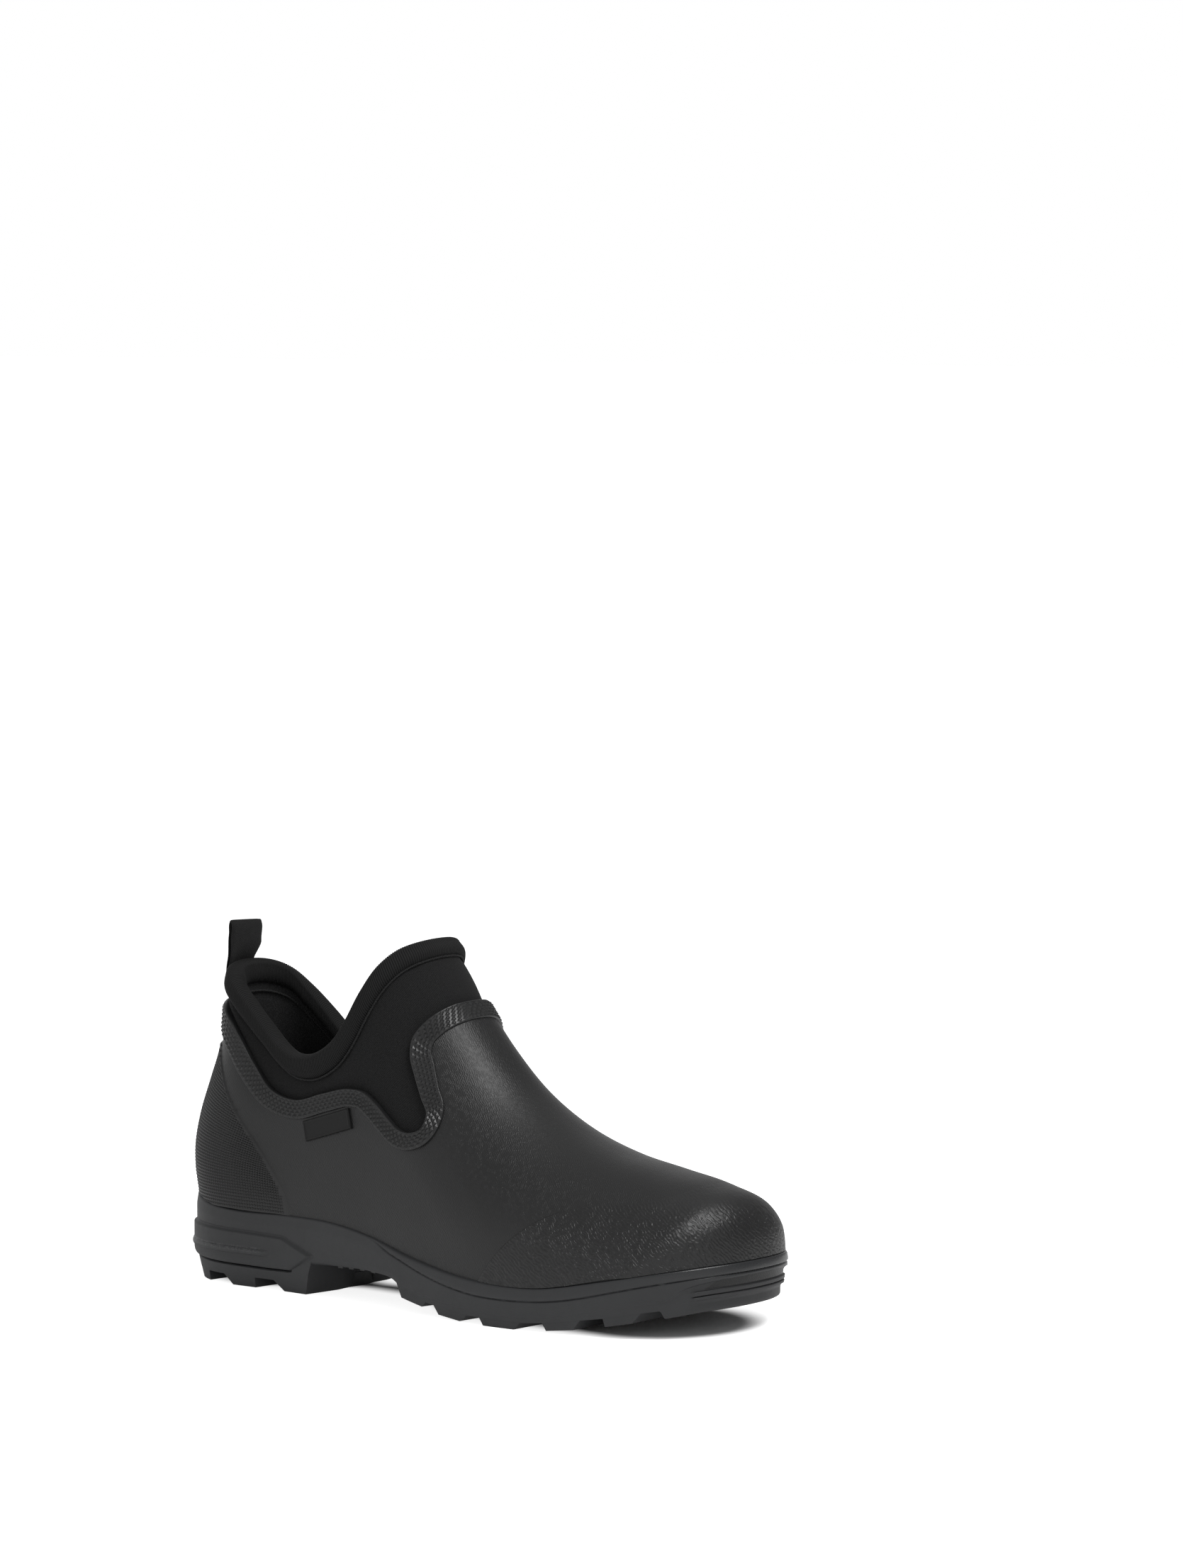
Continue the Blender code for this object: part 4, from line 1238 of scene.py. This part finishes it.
# Counter: its height, the width of its edge, a low lip beside that, and how it fills out towards the middle
COUNTER_ROWS = 60
COUNTER_COLUMNS = 121
COUNTER_EASE = 1.8
COUNTER_OUT = 2.55
COUNTER_EDGE_WIDTH = 0.9
EDGE_SAMPLES = 300
LIP_RISE = 0.14
LIP_PLACE = 1.1
LIP_WIDTH = 0.5
FULL_RISE = 0.7
FULL_REACH = (4.0, 34.0)
RIM_GAP = 0.1
SUNK = 0.05

# Dots of the counter: pitch, margin at the edge, how deep they sit, points along a row, size of a stud
DOT_PITCH = 1.4
DOT_MARGIN = 2.2
DOT_ENDS = 1.0
DOT_SUNK = 0.04
DOT_SAMPLES = 400
DOT_TURN = 0.01
DOT_SIZES = {"Length": 0.72 * MM, "Width": 0.7 * MM, "Height": 0.5 * MM, "Top": 0.36, "Turn": math.pi / 4}


def edge_course(rows):
    """Angle and level along the edge of an overlay, where it lies on the base form."""
    angle, level, missed = locate(curve_through(rows)(np.linspace(0, 1, EDGE_SAMPLES)))
    kept = missed < MISS_LIMIT
    return angle[kept], level[kept]


def counter_line():
    """Angle and level along the front edge of the counter, up to the back of the heel."""
    angle, level = edge_course(COUNTER_EDGE)
    return np.r_[angle[:-1], 0.0], np.maximum.accumulate(level)


COUNTER_LINE = counter_line()


def counter_places(q, r):
    """Angle and level on the counter: q from its lateral to its medial edge, r from the rim to its top."""
    edge_angle, edge_level = COUNTER_LINE
    v = edge_level[0] + r * (edge_level[-1] - edge_level[0])
    reach = np.interp(v, edge_level, edge_angle)
    around = -q * reach
    rim = level_at_height(np.abs(around).ravel(), CUP_DEPTH + RIM_GAP).reshape(around.shape)
    return around, v + (1 - r) ** 3 * (rim - edge_level[0])


def counter_out(near):
    """Height of the counter by the distance from its edge: a low lip and a fuller middle."""
    edge = SHELL_OUT - SUNK + (COUNTER_OUT - SHELL_OUT) * ease(0.0, COUNTER_EDGE_WIDTH, near)
    return edge + LIP_RISE * hump(near - LIP_PLACE, LIP_WIDTH) + FULL_RISE * ease(*FULL_REACH, near)


def dot_places(points, r):
    """Angle and level of each dot, in rows at even heights up the back of the counter."""
    places = []
    tall = run_along(points[:, COUNTER_COLUMNS // 2])
    fine = np.linspace(-1, 1, DOT_SAMPLES)
    for height in np.arange(DOT_ENDS, tall[-1] - DOT_ENDS, DOT_PITCH):
        row = np.interp(height, tall, r[:, 0])
        line = counter_places(fine, np.full(DOT_SAMPLES, row))
        run = run_along(form_point(*line))
        middle = np.interp(0.0, fine, run)
        first = math.ceil((DOT_MARGIN - middle) / DOT_PITCH)
        steps = np.arange(first, (run[-1] - DOT_MARGIN - middle) / DOT_PITCH)
        places.append(np.stack([np.interp(middle + steps * DOT_PITCH, run, values) for values in line], -1))
    return np.concatenate(places).T


def make_counter():
    """Overlay round the heel with rows of small dots."""
    rise = 1 - (1 - np.linspace(0, 1, COUNTER_ROWS)) ** COUNTER_EASE
    q, r = np.meshgrid(np.linspace(-1, 1, COUNTER_COLUMNS), rise)
    angle, level = counter_places(q, r)
    points = form_point(angle, level)
    edge = np.concatenate([points[:, 0], points[::-1, -1]])
    near = distance(points.reshape(-1, 3), edge).reshape(q.shape)
    made = overlay("heel_counter", angle, level, counter_out(near), FINISHES["counter_rubber"])
    settle(made, "heel_counter")
    angle, level = dot_places(points, r)
    height = counter_out(distance(form_point(angle, level), edge)) - DOT_SUNK
    along = unit(form_point(angle + DOT_TURN, level) - form_point(angle - DOT_TURN, level))
    made = stud_field(
        "counter_dots", on_form(angle, level, height), form_normal(angle, level), along,
        FINISHES["counter_rubber"], DOT_SIZES,
    )
    settle(made)


# Cap: step at its edge, full at its two ends and nearly gone over the toe; and the rise over a reach from it
CAP_ROWS = 70
CAP_COLUMNS = 301
CAP_STEP = 0.7
CAP_STEP_WIDTH = 0.5
CAP_STEP_FADE = (0.2, 0.5)
CAP_STEP_LOST = 0.9
CAP_RISE = 1.05
CAP_REACH = 22.0
CAP_SUNK = 0.02


def make_cap():
    """Overlay round the toe, from the sole's rim to its edge on the vamp."""
    angle, edge_level = edge_course(CAP_EDGE)
    edge_angle = np.maximum.accumulate(np.r_[angle[:-1], math.pi])
    q, r = np.meshgrid(np.linspace(-1, 1, CAP_COLUMNS), np.linspace(0, 1, CAP_ROWS))
    around = math.pi + q * (math.pi - edge_angle[0])
    top = np.interp(np.minimum(around, TAU - around), edge_angle, edge_level)
    rim = np.broadcast_to(level_at_height(around[0], CUP_DEPTH + RIM_GAP), q.shape)
    level = rim + r * np.maximum(top - rim, 0.0)
    points = form_point(around, level)
    near = distance(points.reshape(-1, 3), points[-1]).reshape(q.shape)
    step = CAP_STEP * (1 - CAP_STEP_LOST * ease(*CAP_STEP_FADE, 1 - np.abs(q)))
    rise = step * ease(0.0, CAP_STEP_WIDTH, near) + (CAP_RISE - step) * ease(0.0, CAP_REACH, near)
    made = overlay("toe_cap", around, level, SHELL_OUT - CAP_SUNK + rise, FINISHES["cap_rubber"])
    settle(made, "toe_cap")


# Label: middle in side view, size, tilt in degrees, height, and the frame with its soft outer and inner edge
LABEL_MIDDLE = (92.6, 72.4)
LABEL_LENGTH = 26.5
LABEL_WIDTH = 8.6
LABEL_TILT = 17.0
LABEL_RISE = 1.45
LABEL_FRAME = 0.25
LABEL_SOFT = 0.5
LABEL_INSIDE = (0.75, 1.1)
LABEL_GRID = (107, 36)


def make_label():
    """Bare plate on the lateral side, with a low frame round it."""
    a = math.radians(LABEL_TILT)
    long, wide = (np.linspace(-0.5, 0.5, count) for count in LABEL_GRID)
    u, w = np.meshgrid(long * LABEL_LENGTH, wide * LABEL_WIDTH)
    x = LABEL_MIDDLE[0] + u * math.cos(a) - w * math.sin(a)
    z = LABEL_MIDDLE[1] + u * math.sin(a) + w * math.cos(a)
    angle, level, _ = locate(np.stack([x.ravel(), z.ravel()], -1))
    near = np.minimum(LABEL_LENGTH / 2 - np.abs(u), LABEL_WIDTH / 2 - np.abs(w))
    fall = LABEL_SOFT * (1 - ease(0.0, LABEL_SOFT, near)) + LABEL_FRAME * ease(*LABEL_INSIDE, near)
    out = SHELL_OUT + LABEL_RISE - fall
    made = overlay("label_patch", angle.reshape(u.shape), level.reshape(u.shape), out, FINISHES["label_rubber"])
    settle(made, "label_patch")


# Pull tape: its size and its path in side view, how it wraps the heel, leans and narrows, and the heights
# between which it comes free, leans over and gains its full width
LOOP_WIDTH = 20.0
LOOP_THICK = 1.1
LOOP_PATH = (
    (13.2, 120.6), (13.1, 127.0), (13.6, 133.0), (15.0, 137.2), (16.2, 141.2), (16.9, 145.2), (17.1, 149.4),
    (17.7, 150.8), (18.4, 149.2), (18.2, 144.6), (17.5, 140.4), (16.2, 136.6), (14.9, 133.0), (14.4, 127.0),
    (14.5, 120.6),
)
LOOP_STEPS = 150
LOOP_ACROSS = 24
LOOP_WRAP = 46.0
LOOP_LEAN = -0.05
LOOP_TAPER = 0.42
LOOP_FREE = (133.0, 144.0)
LOOP_LEANS = (138.0, 146.0)
LOOP_WIDENS = (133.5, 141.5)
LOOP_EDGE_POWER = 8
LOOP_EDGE_LEAST = 0.05


def make_loop():
    """Pull tape: up from outside the heel, folded over and back down."""
    path = curve_through(LOOP_PATH)(np.linspace(0, 1, LOOP_STEPS))
    side = unit(np.gradient(path, axis=0))
    side = np.stack([side[:, 1], -side[:, 0]], -1)
    run = run_along(path)
    half = LOOP_WIDTH / 2
    ys = np.linspace(-half, half, LOOP_ACROSS)
    soft = np.sqrt(np.clip(1 - (np.abs(ys) / half) ** LOOP_EDGE_POWER, LOOP_EDGE_LEAST, 1))
    outline = [(y, s * LOOP_THICK / 2) for y, s in zip(ys, soft)]
    outline += [(y, -s * LOOP_THICK / 2) for y, s in zip(ys[::-1], soft[::-1])]
    points, uv = [], []
    for y, s in outline:
        x, z = (path + s * side).T
        bent = y * y / LOOP_WRAP * (1 - ease(*LOOP_FREE, z))
        wide = y - max(y, 0.0) * LOOP_TAPER * (1 - ease(*LOOP_WIDENS, z))
        points.append(np.stack([x + bent, wide, z + LOOP_LEAN * y * ease(*LOOP_LEANS, z)], -1))
        uv.append(np.stack([np.full_like(run, y), run], -1))
    points = np.array(points).swapaxes(0, 1)
    uv = np.array(uv).swapaxes(0, 1)
    rows, count = points.shape[:2]
    faces = grid_faces(rows, count, True)
    for first in (0, (rows - 1) * count):
        for i in range(count // 2 - 1):
            faces.append([first + i, first + i + 1, first + count - 2 - i, first + count - 1 - i])
    made = new_object("pull_loop", points, faces, FINISHES["webbing"], uv)
    outward_faces(made)
    settle(made, "pull_loop")


# Rings of the footbed from below: height over the bed and inset from the base form
INSOLE_RINGS = ((0.35, 0.7), (2.5, 0.6), (4.4, 0.6), (5.1, 1.1), (5.35, 2.2), (5.4, 4.0))
INSOLE_COLUMNS = 240


def tube(name, rings, look, sharp=50.0):
    """A closed body from rings of points, with caps across the first and the last."""
    rows, count = len(rings), len(rings[0])
    faces = grid_faces(rows, count, True) + strip_caps(0, count) + strip_caps(count * (rows - 1), count)
    made = new_object(name, np.array(rings), faces, look, sharp=sharp)
    outward_faces(made)
    return made


def make_insole():
    angle = np.linspace(0, TAU, INSOLE_COLUMNS, endpoint=False)
    rings = [on_form(angle, level_at_height(angle, height), -inset) for height, inset in INSOLE_RINGS]
    made = tube("insole", rings, FINISHES["footbed_foam"])
    settle(made, "insole")


# Wall of the sole: offsets in plan from the base form at the rim
WALL_COLUMNS = 900
WALL_ROWS = 84
RIM_OUT = 3.2
WALL_OUT = 3.75
WALL_TURN = 5.0
HEEL_FLARE = 1.1
HEEL_FLARE_END = 60.0

# Lines along the sole, rows of x and z or of x and depth below the rim
lower_edge = broken(*zip(
    (-2.0, 10.6), (30.0, 9.8), (60.0, 9.4), (74.0, 9.6), (86.0, 13.3), (95.0, 14.0), (115.0, 14.6),
    (125.0, 14.0), (131.0, 13.6), (135.0, 12.9), (145.0, 9.3), (153.5, 6.1), (157.0, 5.4), (177.0, 3.3),
    (184.0, 3.2), (205.0, 3.0), (216.0, 3.9), (233.0, 6.5), (243.0, 8.0), (258.7, 11.3), (262.6, 11.8),
    (264.0, 8.5), (275.0, 10.6), (290.0, 12.2),
))
tread_line = broken(*zip(
    (-12.0, 0.0), (100.0, 0.0), (134.0, 7.0), (139.6, 6.0), (143.6, 5.2), (151.7, 3.7), (161.6, 1.6),
    (173.8, 0.4), (186.0, 0.0), (202.0, 0.0), (217.7, 0.9), (229.7, 2.2), (243.8, 4.6), (254.5, 6.6),
    (263.9, 8.5), (290.0, 12.2),
))
welt_depth = smooth(*zip(
    (118.0, 0.0), (124.0, 0.6), (131.0, 2.1), (141.0, 2.9), (151.0, 4.1), (164.0, 5.1), (178.0, 5.6),
    (208.0, 5.3), (233.0, 5.4), (252.0, 4.6), (271.0, 4.2), (290.0, 4.0),
))
chamfer_depth = smooth(*zip(
    (140.0, 12.6), (200.0, 12.1), (250.0, 11.3), (263.5, 11.4), (265.7, 11.1), (267.3, 9.8), (268.8, 8.2),
    (271.3, 7.1), (276.0, 6.2), (290.0, 5.8),
))

# Upper edge: its rise round the back with the stretch of x, its dip beside the heel and its rounding
BACK_RISE = 5.0
BACK_RISE_X = (-4.0, 34.0)
RIM_DIP = 0.7
RIM_DIP_X = 48.0
RIM_DIP_REACH = 16.0
RIM_ROUND = 0.5
RIM_ROUND_REACH = 1.0

# Heel panel, shaped like an arrow to the front: corners, upper edge, relief, groove round it and rib on it
PANEL_TIP = (86.5, 17.1)
PANEL_SHOULDER = 70.0
PANEL_FOOT = (74.6, 9.6)
PANEL_LEVEL = (24.7, 0.022)
PANEL_SLANT = 0.75
PANEL_BEHIND = 9.0
PANEL_EDGE = (-0.15, 0.75)
PANEL_OUT = 0.95
PANEL_BACK_OUT = 0.35
BACK_OUT = 1.1
BACK_X = (4.0, 60.0)
GROOVE = 0.3
GROOVE_PLACE = -0.5
GROOVE_WIDTH = 0.4
RIB_HEIGHT = 15.8
RIB_HALF = 1.35
RIB_OUT = 1.2
RIB_FRONT = (58.0, 5.0)
RIB_BACK = (24.0, 12.0)

# Forefoot: bead and groove of the welt, chamfer below it, bars round the toe (middle depth and half width)
BEAD_OUT = 0.5
BEAD_X = (120.0, 150.0)
BEAD_LEAST = 0.3
WELT_GROOVE = 0.45
WELT_GROOVE_WIDTH = 0.3
WELT_X = (119.0, 128.0)
FORE_X = (138.0, 156.0)
TOE_X = (262.0, 281.0)
CHAMFER_EDGE = (-0.25, 0.45)
CHAMFER_STEP = (0.35, 1.5)
CHAMFER_SLOPE = (0.09, 0.02)
CHAMFER_MOST = 9.0
TOE_BARS = ((10.6, 1.15), (12.65, 0.95))
BAR_EDGE = 0.45
BAR_OUT = 0.85
BAR_X = (271.0, 272.2)
TOE_FALL = 0.8
TOE_FALL_DEPTH = (13.0, 15.0)

# Rounding of the wall's lower edge, fall and reach, and the stretches of x where it changes
HEEL_ROUND = (1.7, 3.4)
ARCH_ROUND = (2.2, 3.2)
TOE_ROUND = (0.9, 1.6)
HEEL_END = (74.0, 86.0)
ARCH_START = (74.0, 90.0)
ARCH_END = (128.0, 140.0)
TIP_START = (260.0, 266.0)

# Rings under the wall (inset and lift) and over its rim (inset and fall), and the gap between bed and upper
FOOT_RINGS = ((25.0, 0.4), (13.0, 0.3), (5.0, 0.2), (1.2, 0.0))
RIM_RINGS = ((0.8, -0.15), (1.3, -0.25), (1.9, 0.5), (2.0, 2.5))
BED_GAP = 0.5
OUTLINE_SAMPLES = 1441


def even_outline(count):
    """Angles at even steps along the plan of the sole's rim, its points and the way out in plan."""
    def rim_line(a):
        return form_point(a, level_at_height(a, CUP_DEPTH))

    coarse, run = angles_and_run(lambda a: rim_line(a)[:, :2], OUTLINE_SAMPLES)
    angle = even_steps(run, coarse, count)
    rim = rim_line(angle)
    around = np.roll(rim, -1, 0) - np.roll(rim, 1, 0)
    away = unit(np.stack([around[:, 1], -around[:, 0], np.zeros(count)], -1))
    return angle, rim, away


def sole_top(x):
    """Upper edge of the sole, raised a little round the back of the heel."""
    dip = RIM_DIP * hump(x - RIM_DIP_X, RIM_DIP_REACH)
    return rim_height(x) + BACK_RISE * (1 - ease(*BACK_RISE_X, x)) - dip


def heel_flare(x):
    """How far the heel spreads, more towards the back."""
    return HEEL_FLARE * ease(0.0, HEEL_FLARE_END, HEEL_FLARE_END - x)


def panel_top(x):
    """Upper edge of the heel panel, falling to the tip of its arrow."""
    level = PANEL_LEVEL[0] - PANEL_LEVEL[1] * x
    fall = (level - PANEL_TIP[1]) / (PANEL_TIP[0] - PANEL_SHOULDER)
    return np.where(x < PANEL_SHOULDER, level, level - fall * (x - PANEL_SHOULDER))


def heel_panel(x, z):
    """How far a place lies inside the heel panel."""
    rise = (PANEL_TIP[1] - PANEL_FOOT[1]) / (PANEL_TIP[0] - PANEL_FOOT[0])
    low = PANEL_FOOT[1] + rise * (x - PANEL_FOOT[0])
    return np.minimum(panel_top(x) - z, np.where(x > PANEL_FOOT[0], PANEL_SLANT * (z - low), PANEL_BEHIND))


def heel_rib(x, z):
    """Long rounded rib on the heel panel, with tapered ends."""
    end = np.clip((x - RIB_FRONT[0]) / RIB_FRONT[1], 0, 1) + np.clip((RIB_BACK[0] - x) / RIB_BACK[1], 0, 1)
    return np.sqrt(np.clip(1 - ((z - RIB_HEIGHT) / RIB_HALF) ** 2, 0, 1)) * (1 - np.clip(end, 0, 1) ** 2)


def rounded_in(distance_in, reach):
    """Fall of a rounded edge: 0 past its reach, 1 at the edge."""
    s = np.clip(1 - distance_in / reach, 0, 1)
    return 1 - np.sqrt(1 - s * s)


def heel_relief(x, z):
    """The back of the heel, its panel with the rib, and the groove round that."""
    inside = heel_panel(x, z)
    panel = ease(*PANEL_EDGE, inside)
    back = 1 - ease(*BACK_X, x)
    raised = panel * (PANEL_OUT + heel_flare(x) + PANEL_BACK_OUT * back)
    groove = GROOVE * hump(inside - GROOVE_PLACE, GROOVE_WIDTH)
    return BACK_OUT * back * (1 - panel) + raised + RIB_OUT * heel_rib(x, z) - groove


def fore_relief(x, depth):
    """Bead and groove of the welt, the chamfer below and the bars round the toe."""
    welt = welt_depth(x)
    half_welt = welt / 2
    bead = np.sqrt(np.clip(1 - ((depth - half_welt) / np.maximum(half_welt, BEAD_LEAST)) ** 2, 0, 1))
    out = BEAD_OUT * bead * ease(*BEAD_X, x)
    out = out - WELT_GROOVE * hump(depth - welt, WELT_GROOVE_WIDTH) * ease(*WELT_X, x)
    toe = ease(*TOE_X, x)
    below = depth - chamfer_depth(x)
    step = ease(*CHAMFER_EDGE, below) * (CHAMFER_STEP[0] + CHAMFER_STEP[1] * toe)
    slope = (CHAMFER_SLOPE[0] + CHAMFER_SLOPE[1] * toe) * np.clip(below, 0, CHAMFER_MOST)
    out = out - ease(*FORE_X, x) * (step + slope)
    bars = sum(ease(0.0, BAR_EDGE, half - np.abs(depth - middle)) for middle, half in TOE_BARS)
    return out + BAR_OUT * bars * ease(*BAR_X, x) - TOE_FALL * toe * ease(*TOE_FALL_DEPTH, depth)


def lower_rounding(x, above):
    """How far the wall is rounded in at its lower edge."""
    heel = 1 - ease(*HEEL_END, x)
    arch = ease(*ARCH_START, x) * (1 - ease(*ARCH_END, x))
    tip = ease(*TIP_START, x)
    stretches = ((heel, HEEL_ROUND), (arch, ARCH_ROUND), (tip, TOE_ROUND))
    return sum(fall * share * rounded_in(above, reach) for share, (fall, reach) in stretches)


def wall_out(x, z):
    """How far the wall of the sole stands out at a place on it."""
    depth = sole_top(x) - z
    out = RIM_OUT + (WALL_OUT - RIM_OUT) * ease(0.0, WALL_TURN, depth)
    out = out + heel_relief(x, z) + fore_relief(x, depth) - lower_rounding(x, z - lower_edge(x))
    return out - RIM_ROUND * rounded_in(depth, RIM_ROUND_REACH)


def make_sole():
    """Cup of the sole: flat below, moulded wall, rim and the bed inside."""
    angle, rim, away = even_outline(WALL_COLUMNS)
    x = rim[:, 0]
    high, low = sole_top(x), lower_edge(x)

    def ring(out, z):
        return np.c_[(rim + np.asarray(out)[..., None] * away)[:, :2], z]

    foot = wall_out(x, low)
    rings = [ring(foot - inset, low + lift) for inset, lift in FOOT_RINGS]
    for share in np.linspace(1, 0, WALL_ROWS):
        z = high - share * (high - low)
        rings.append(ring(wall_out(x, z), z))
    for inset, fall in RIM_RINGS:
        rings.append(ring(wall_out(x, high) + RIM_ROUND - inset, high - fall))
    inner = form_point(angle, 0 * angle)
    rings.append(np.c_[inner[:, :2], rim_height(inner[:, 0]) - CUP_DEPTH - BED_GAP])
    made = tube("outsole", rings, FINISHES["sole_rubber"], 60.0)
    settle(made, "outsole")


def level_plane(z):
    return lambda x: z + 0 * np.asarray(x, float)


def below_edge(drop):
    return lambda x: lower_edge(x) - drop


# Lugs: back and front end at the ground, slope of the back and of the front face
HEEL_LUGS = ((-20.0, 24.5, 0.0, 0.05), (40.0, 52.5, 1.05, 0.05), (68.5, 79.5, 1.2, 0.0))
FORE_LUGS = (
    (139.6, 151.7, 0.64, 0.8), (161.6, 173.8, 0.9, 1.27), (186.6, 202.1, 0.7, 1.1), (217.7, 229.7, 0.6, 0.85),
    (243.8, 254.5, 0.3, 0.95),
)
ARCH_RIBS = (
    (99.0, 101.5, 0.3, 0.3), (105.5, 108.0, 0.3, 0.3), (112.0, 114.5, 0.3, 0.3), (118.5, 121.0, 0.3, 0.3),
)
HEEL_BLOCK = (-20.0, 79.0, 0.0, 0.0)
HEEL_BREAST = (74.6, 80.7, 0.0, 0.36)

# Levels of each kind, from the ground up: height along x, and inset from the side of the tread
LUG_INSET = 0.3
TREAD_SIDE = WALL_OUT - LUG_INSET
HEEL_TAPER = 2.6
HEEL_TOP_IN = 0.45 * HEEL_TAPER
BREAST_SEAM = 0.08
LUG_SEAM = 0.06
lug_top = level_plane(5.9)
BLOCK_LEVELS = (
    (level_plane(4.4), 0.58 * HEEL_TAPER), (below_edge(1.0), 0.4), (below_edge(0.5), 0.9),
    (below_edge(0.5), 4.0), (below_edge(-1.5), 4.2),
)
BREAST_LEVELS = (
    (tread_line, HEEL_TAPER - BREAST_SEAM), (lug_top, HEEL_TOP_IN - BREAST_SEAM), (level_plane(9.2), 0.25),
    (level_plane(17.0), 0.0),
)
HEEL_LEVELS = ((tread_line, HEEL_TAPER), (lug_top, HEEL_TOP_IN + LUG_SEAM))
FORE_LEVELS = ((tread_line, 0.45), (below_edge(-1.2), 0.45))
ARCH_LEVELS = ((below_edge(0.9), 3.2), (below_edge(-1.2), 2.6))

# Front and back faces: share of the width and how far ahead; a plain tip, and the breast with its recess
PLAIN_TIP = ((0.5, 5.0),)
BREAST_SHAPE = ((0.26, 3.0), (0.40, 2.4), (0.45, -5.0), (0.55, -5.0), (0.60, 2.4), (0.74, 3.0))
LUG_STATIONS = 24
LUG_START = 0.3
LUG_SOFT = 0.45
LUG_SOFT_ANGLE = 38.0
RIM_POINTS = 600
TREAD_RIM = even_outline(RIM_POINTS)


def tread_edges(out):
    """Lateral and medial edge of the tread at an offset from the rim, from heel to toe."""
    _, rim, away = TREAD_RIM
    ring = (rim + (out + heel_flare(rim[:, 0]))[:, None] * away)[:, :2]
    toe = RIM_POINTS // 2
    return ring[:toe + 1], np.concatenate([ring[:1], ring[:toe - 1:-1]])


def lug(bar, levels, front=PLAIN_TIP):
    """Outlines of a bar across the sole, one for each of its levels."""
    start, end, back_slope, front_slope = bar
    ground = levels[0][0]
    rings = []
    for level, inset in levels:
        near, far = tread_edges(TREAD_SIDE - inset)
        heel = near[0, 0]
        rise = [float(level(x) - ground(x)) for x in (max(start, heel), end)]
        first = max(start - back_slope * rise[0], heel + LUG_START)
        share = np.linspace(0, 1, LUG_STATIONS) ** (2 if start < heel else 1)
        x = first + (end + front_slope * rise[1] - first) * share
        sides = [np.stack([x, np.interp(x, line[:, 0], line[:, 1])], -1) for line in (near, far)]
        tips = []
        for at, shape in ((-1, front), (0, PLAIN_TIP)):
            a, b = sides[0][at], sides[1][at]
            tips.append(np.array([a + part * (b - a) + (ahead, 0.0) for part, ahead in shape]))
        outline = [sides[0], tips[0], sides[1][::-1]]
        if start >= heel:
            outline.append(tips[1][::-1])
        outline = np.concatenate(outline)
        rings.append(np.c_[outline, level(outline[:, 0])])
    return np.array(rings)


def make_lugs():
    """Block and breast of the heel, lugs under heel and forefoot, and ribs under the arch."""
    bars = [lug(HEEL_BLOCK, BLOCK_LEVELS), lug(HEEL_BREAST, BREAST_LEVELS, BREAST_SHAPE)]
    for kind, levels in ((HEEL_LUGS, HEEL_LEVELS), (FORE_LUGS, FORE_LEVELS), (ARCH_RIBS, ARCH_LEVELS)):
        bars += [lug(bar, levels) for bar in kind]
    points, faces, total = [], [], 0
    for rings in bars:
        rows, count = rings.shape[:2]
        faces += [[i + total for i in face] for face in grid_faces(rows, count, True)]
        last = total + (rows - 1) * count
        faces += [[total + i for i in range(count)], [last + i for i in range(count)][::-1]]
        points.append(rings.reshape(-1, 3))
        total += rows * count
    made = new_object("tread_lugs", np.concatenate(points), faces, FINISHES["sole_rubber"], sharp=35.0)
    outward_faces(made)
    soften = made.modifiers.new("soft_edges", "BEVEL")
    soften.width = LUG_SOFT * MM
    soften.segments = 2
    soften.limit_method = "ANGLE"
    soften.angle_limit = math.radians(LUG_SOFT_ANGLE)
    settle(made)


make_camera()
make_studio()
make_sole()
make_lugs()
make_insole()
make_shell()
make_collar()
make_lining()
make_binding()
make_piping()
make_band()
make_cap()
make_counter()
make_label()
make_loop()
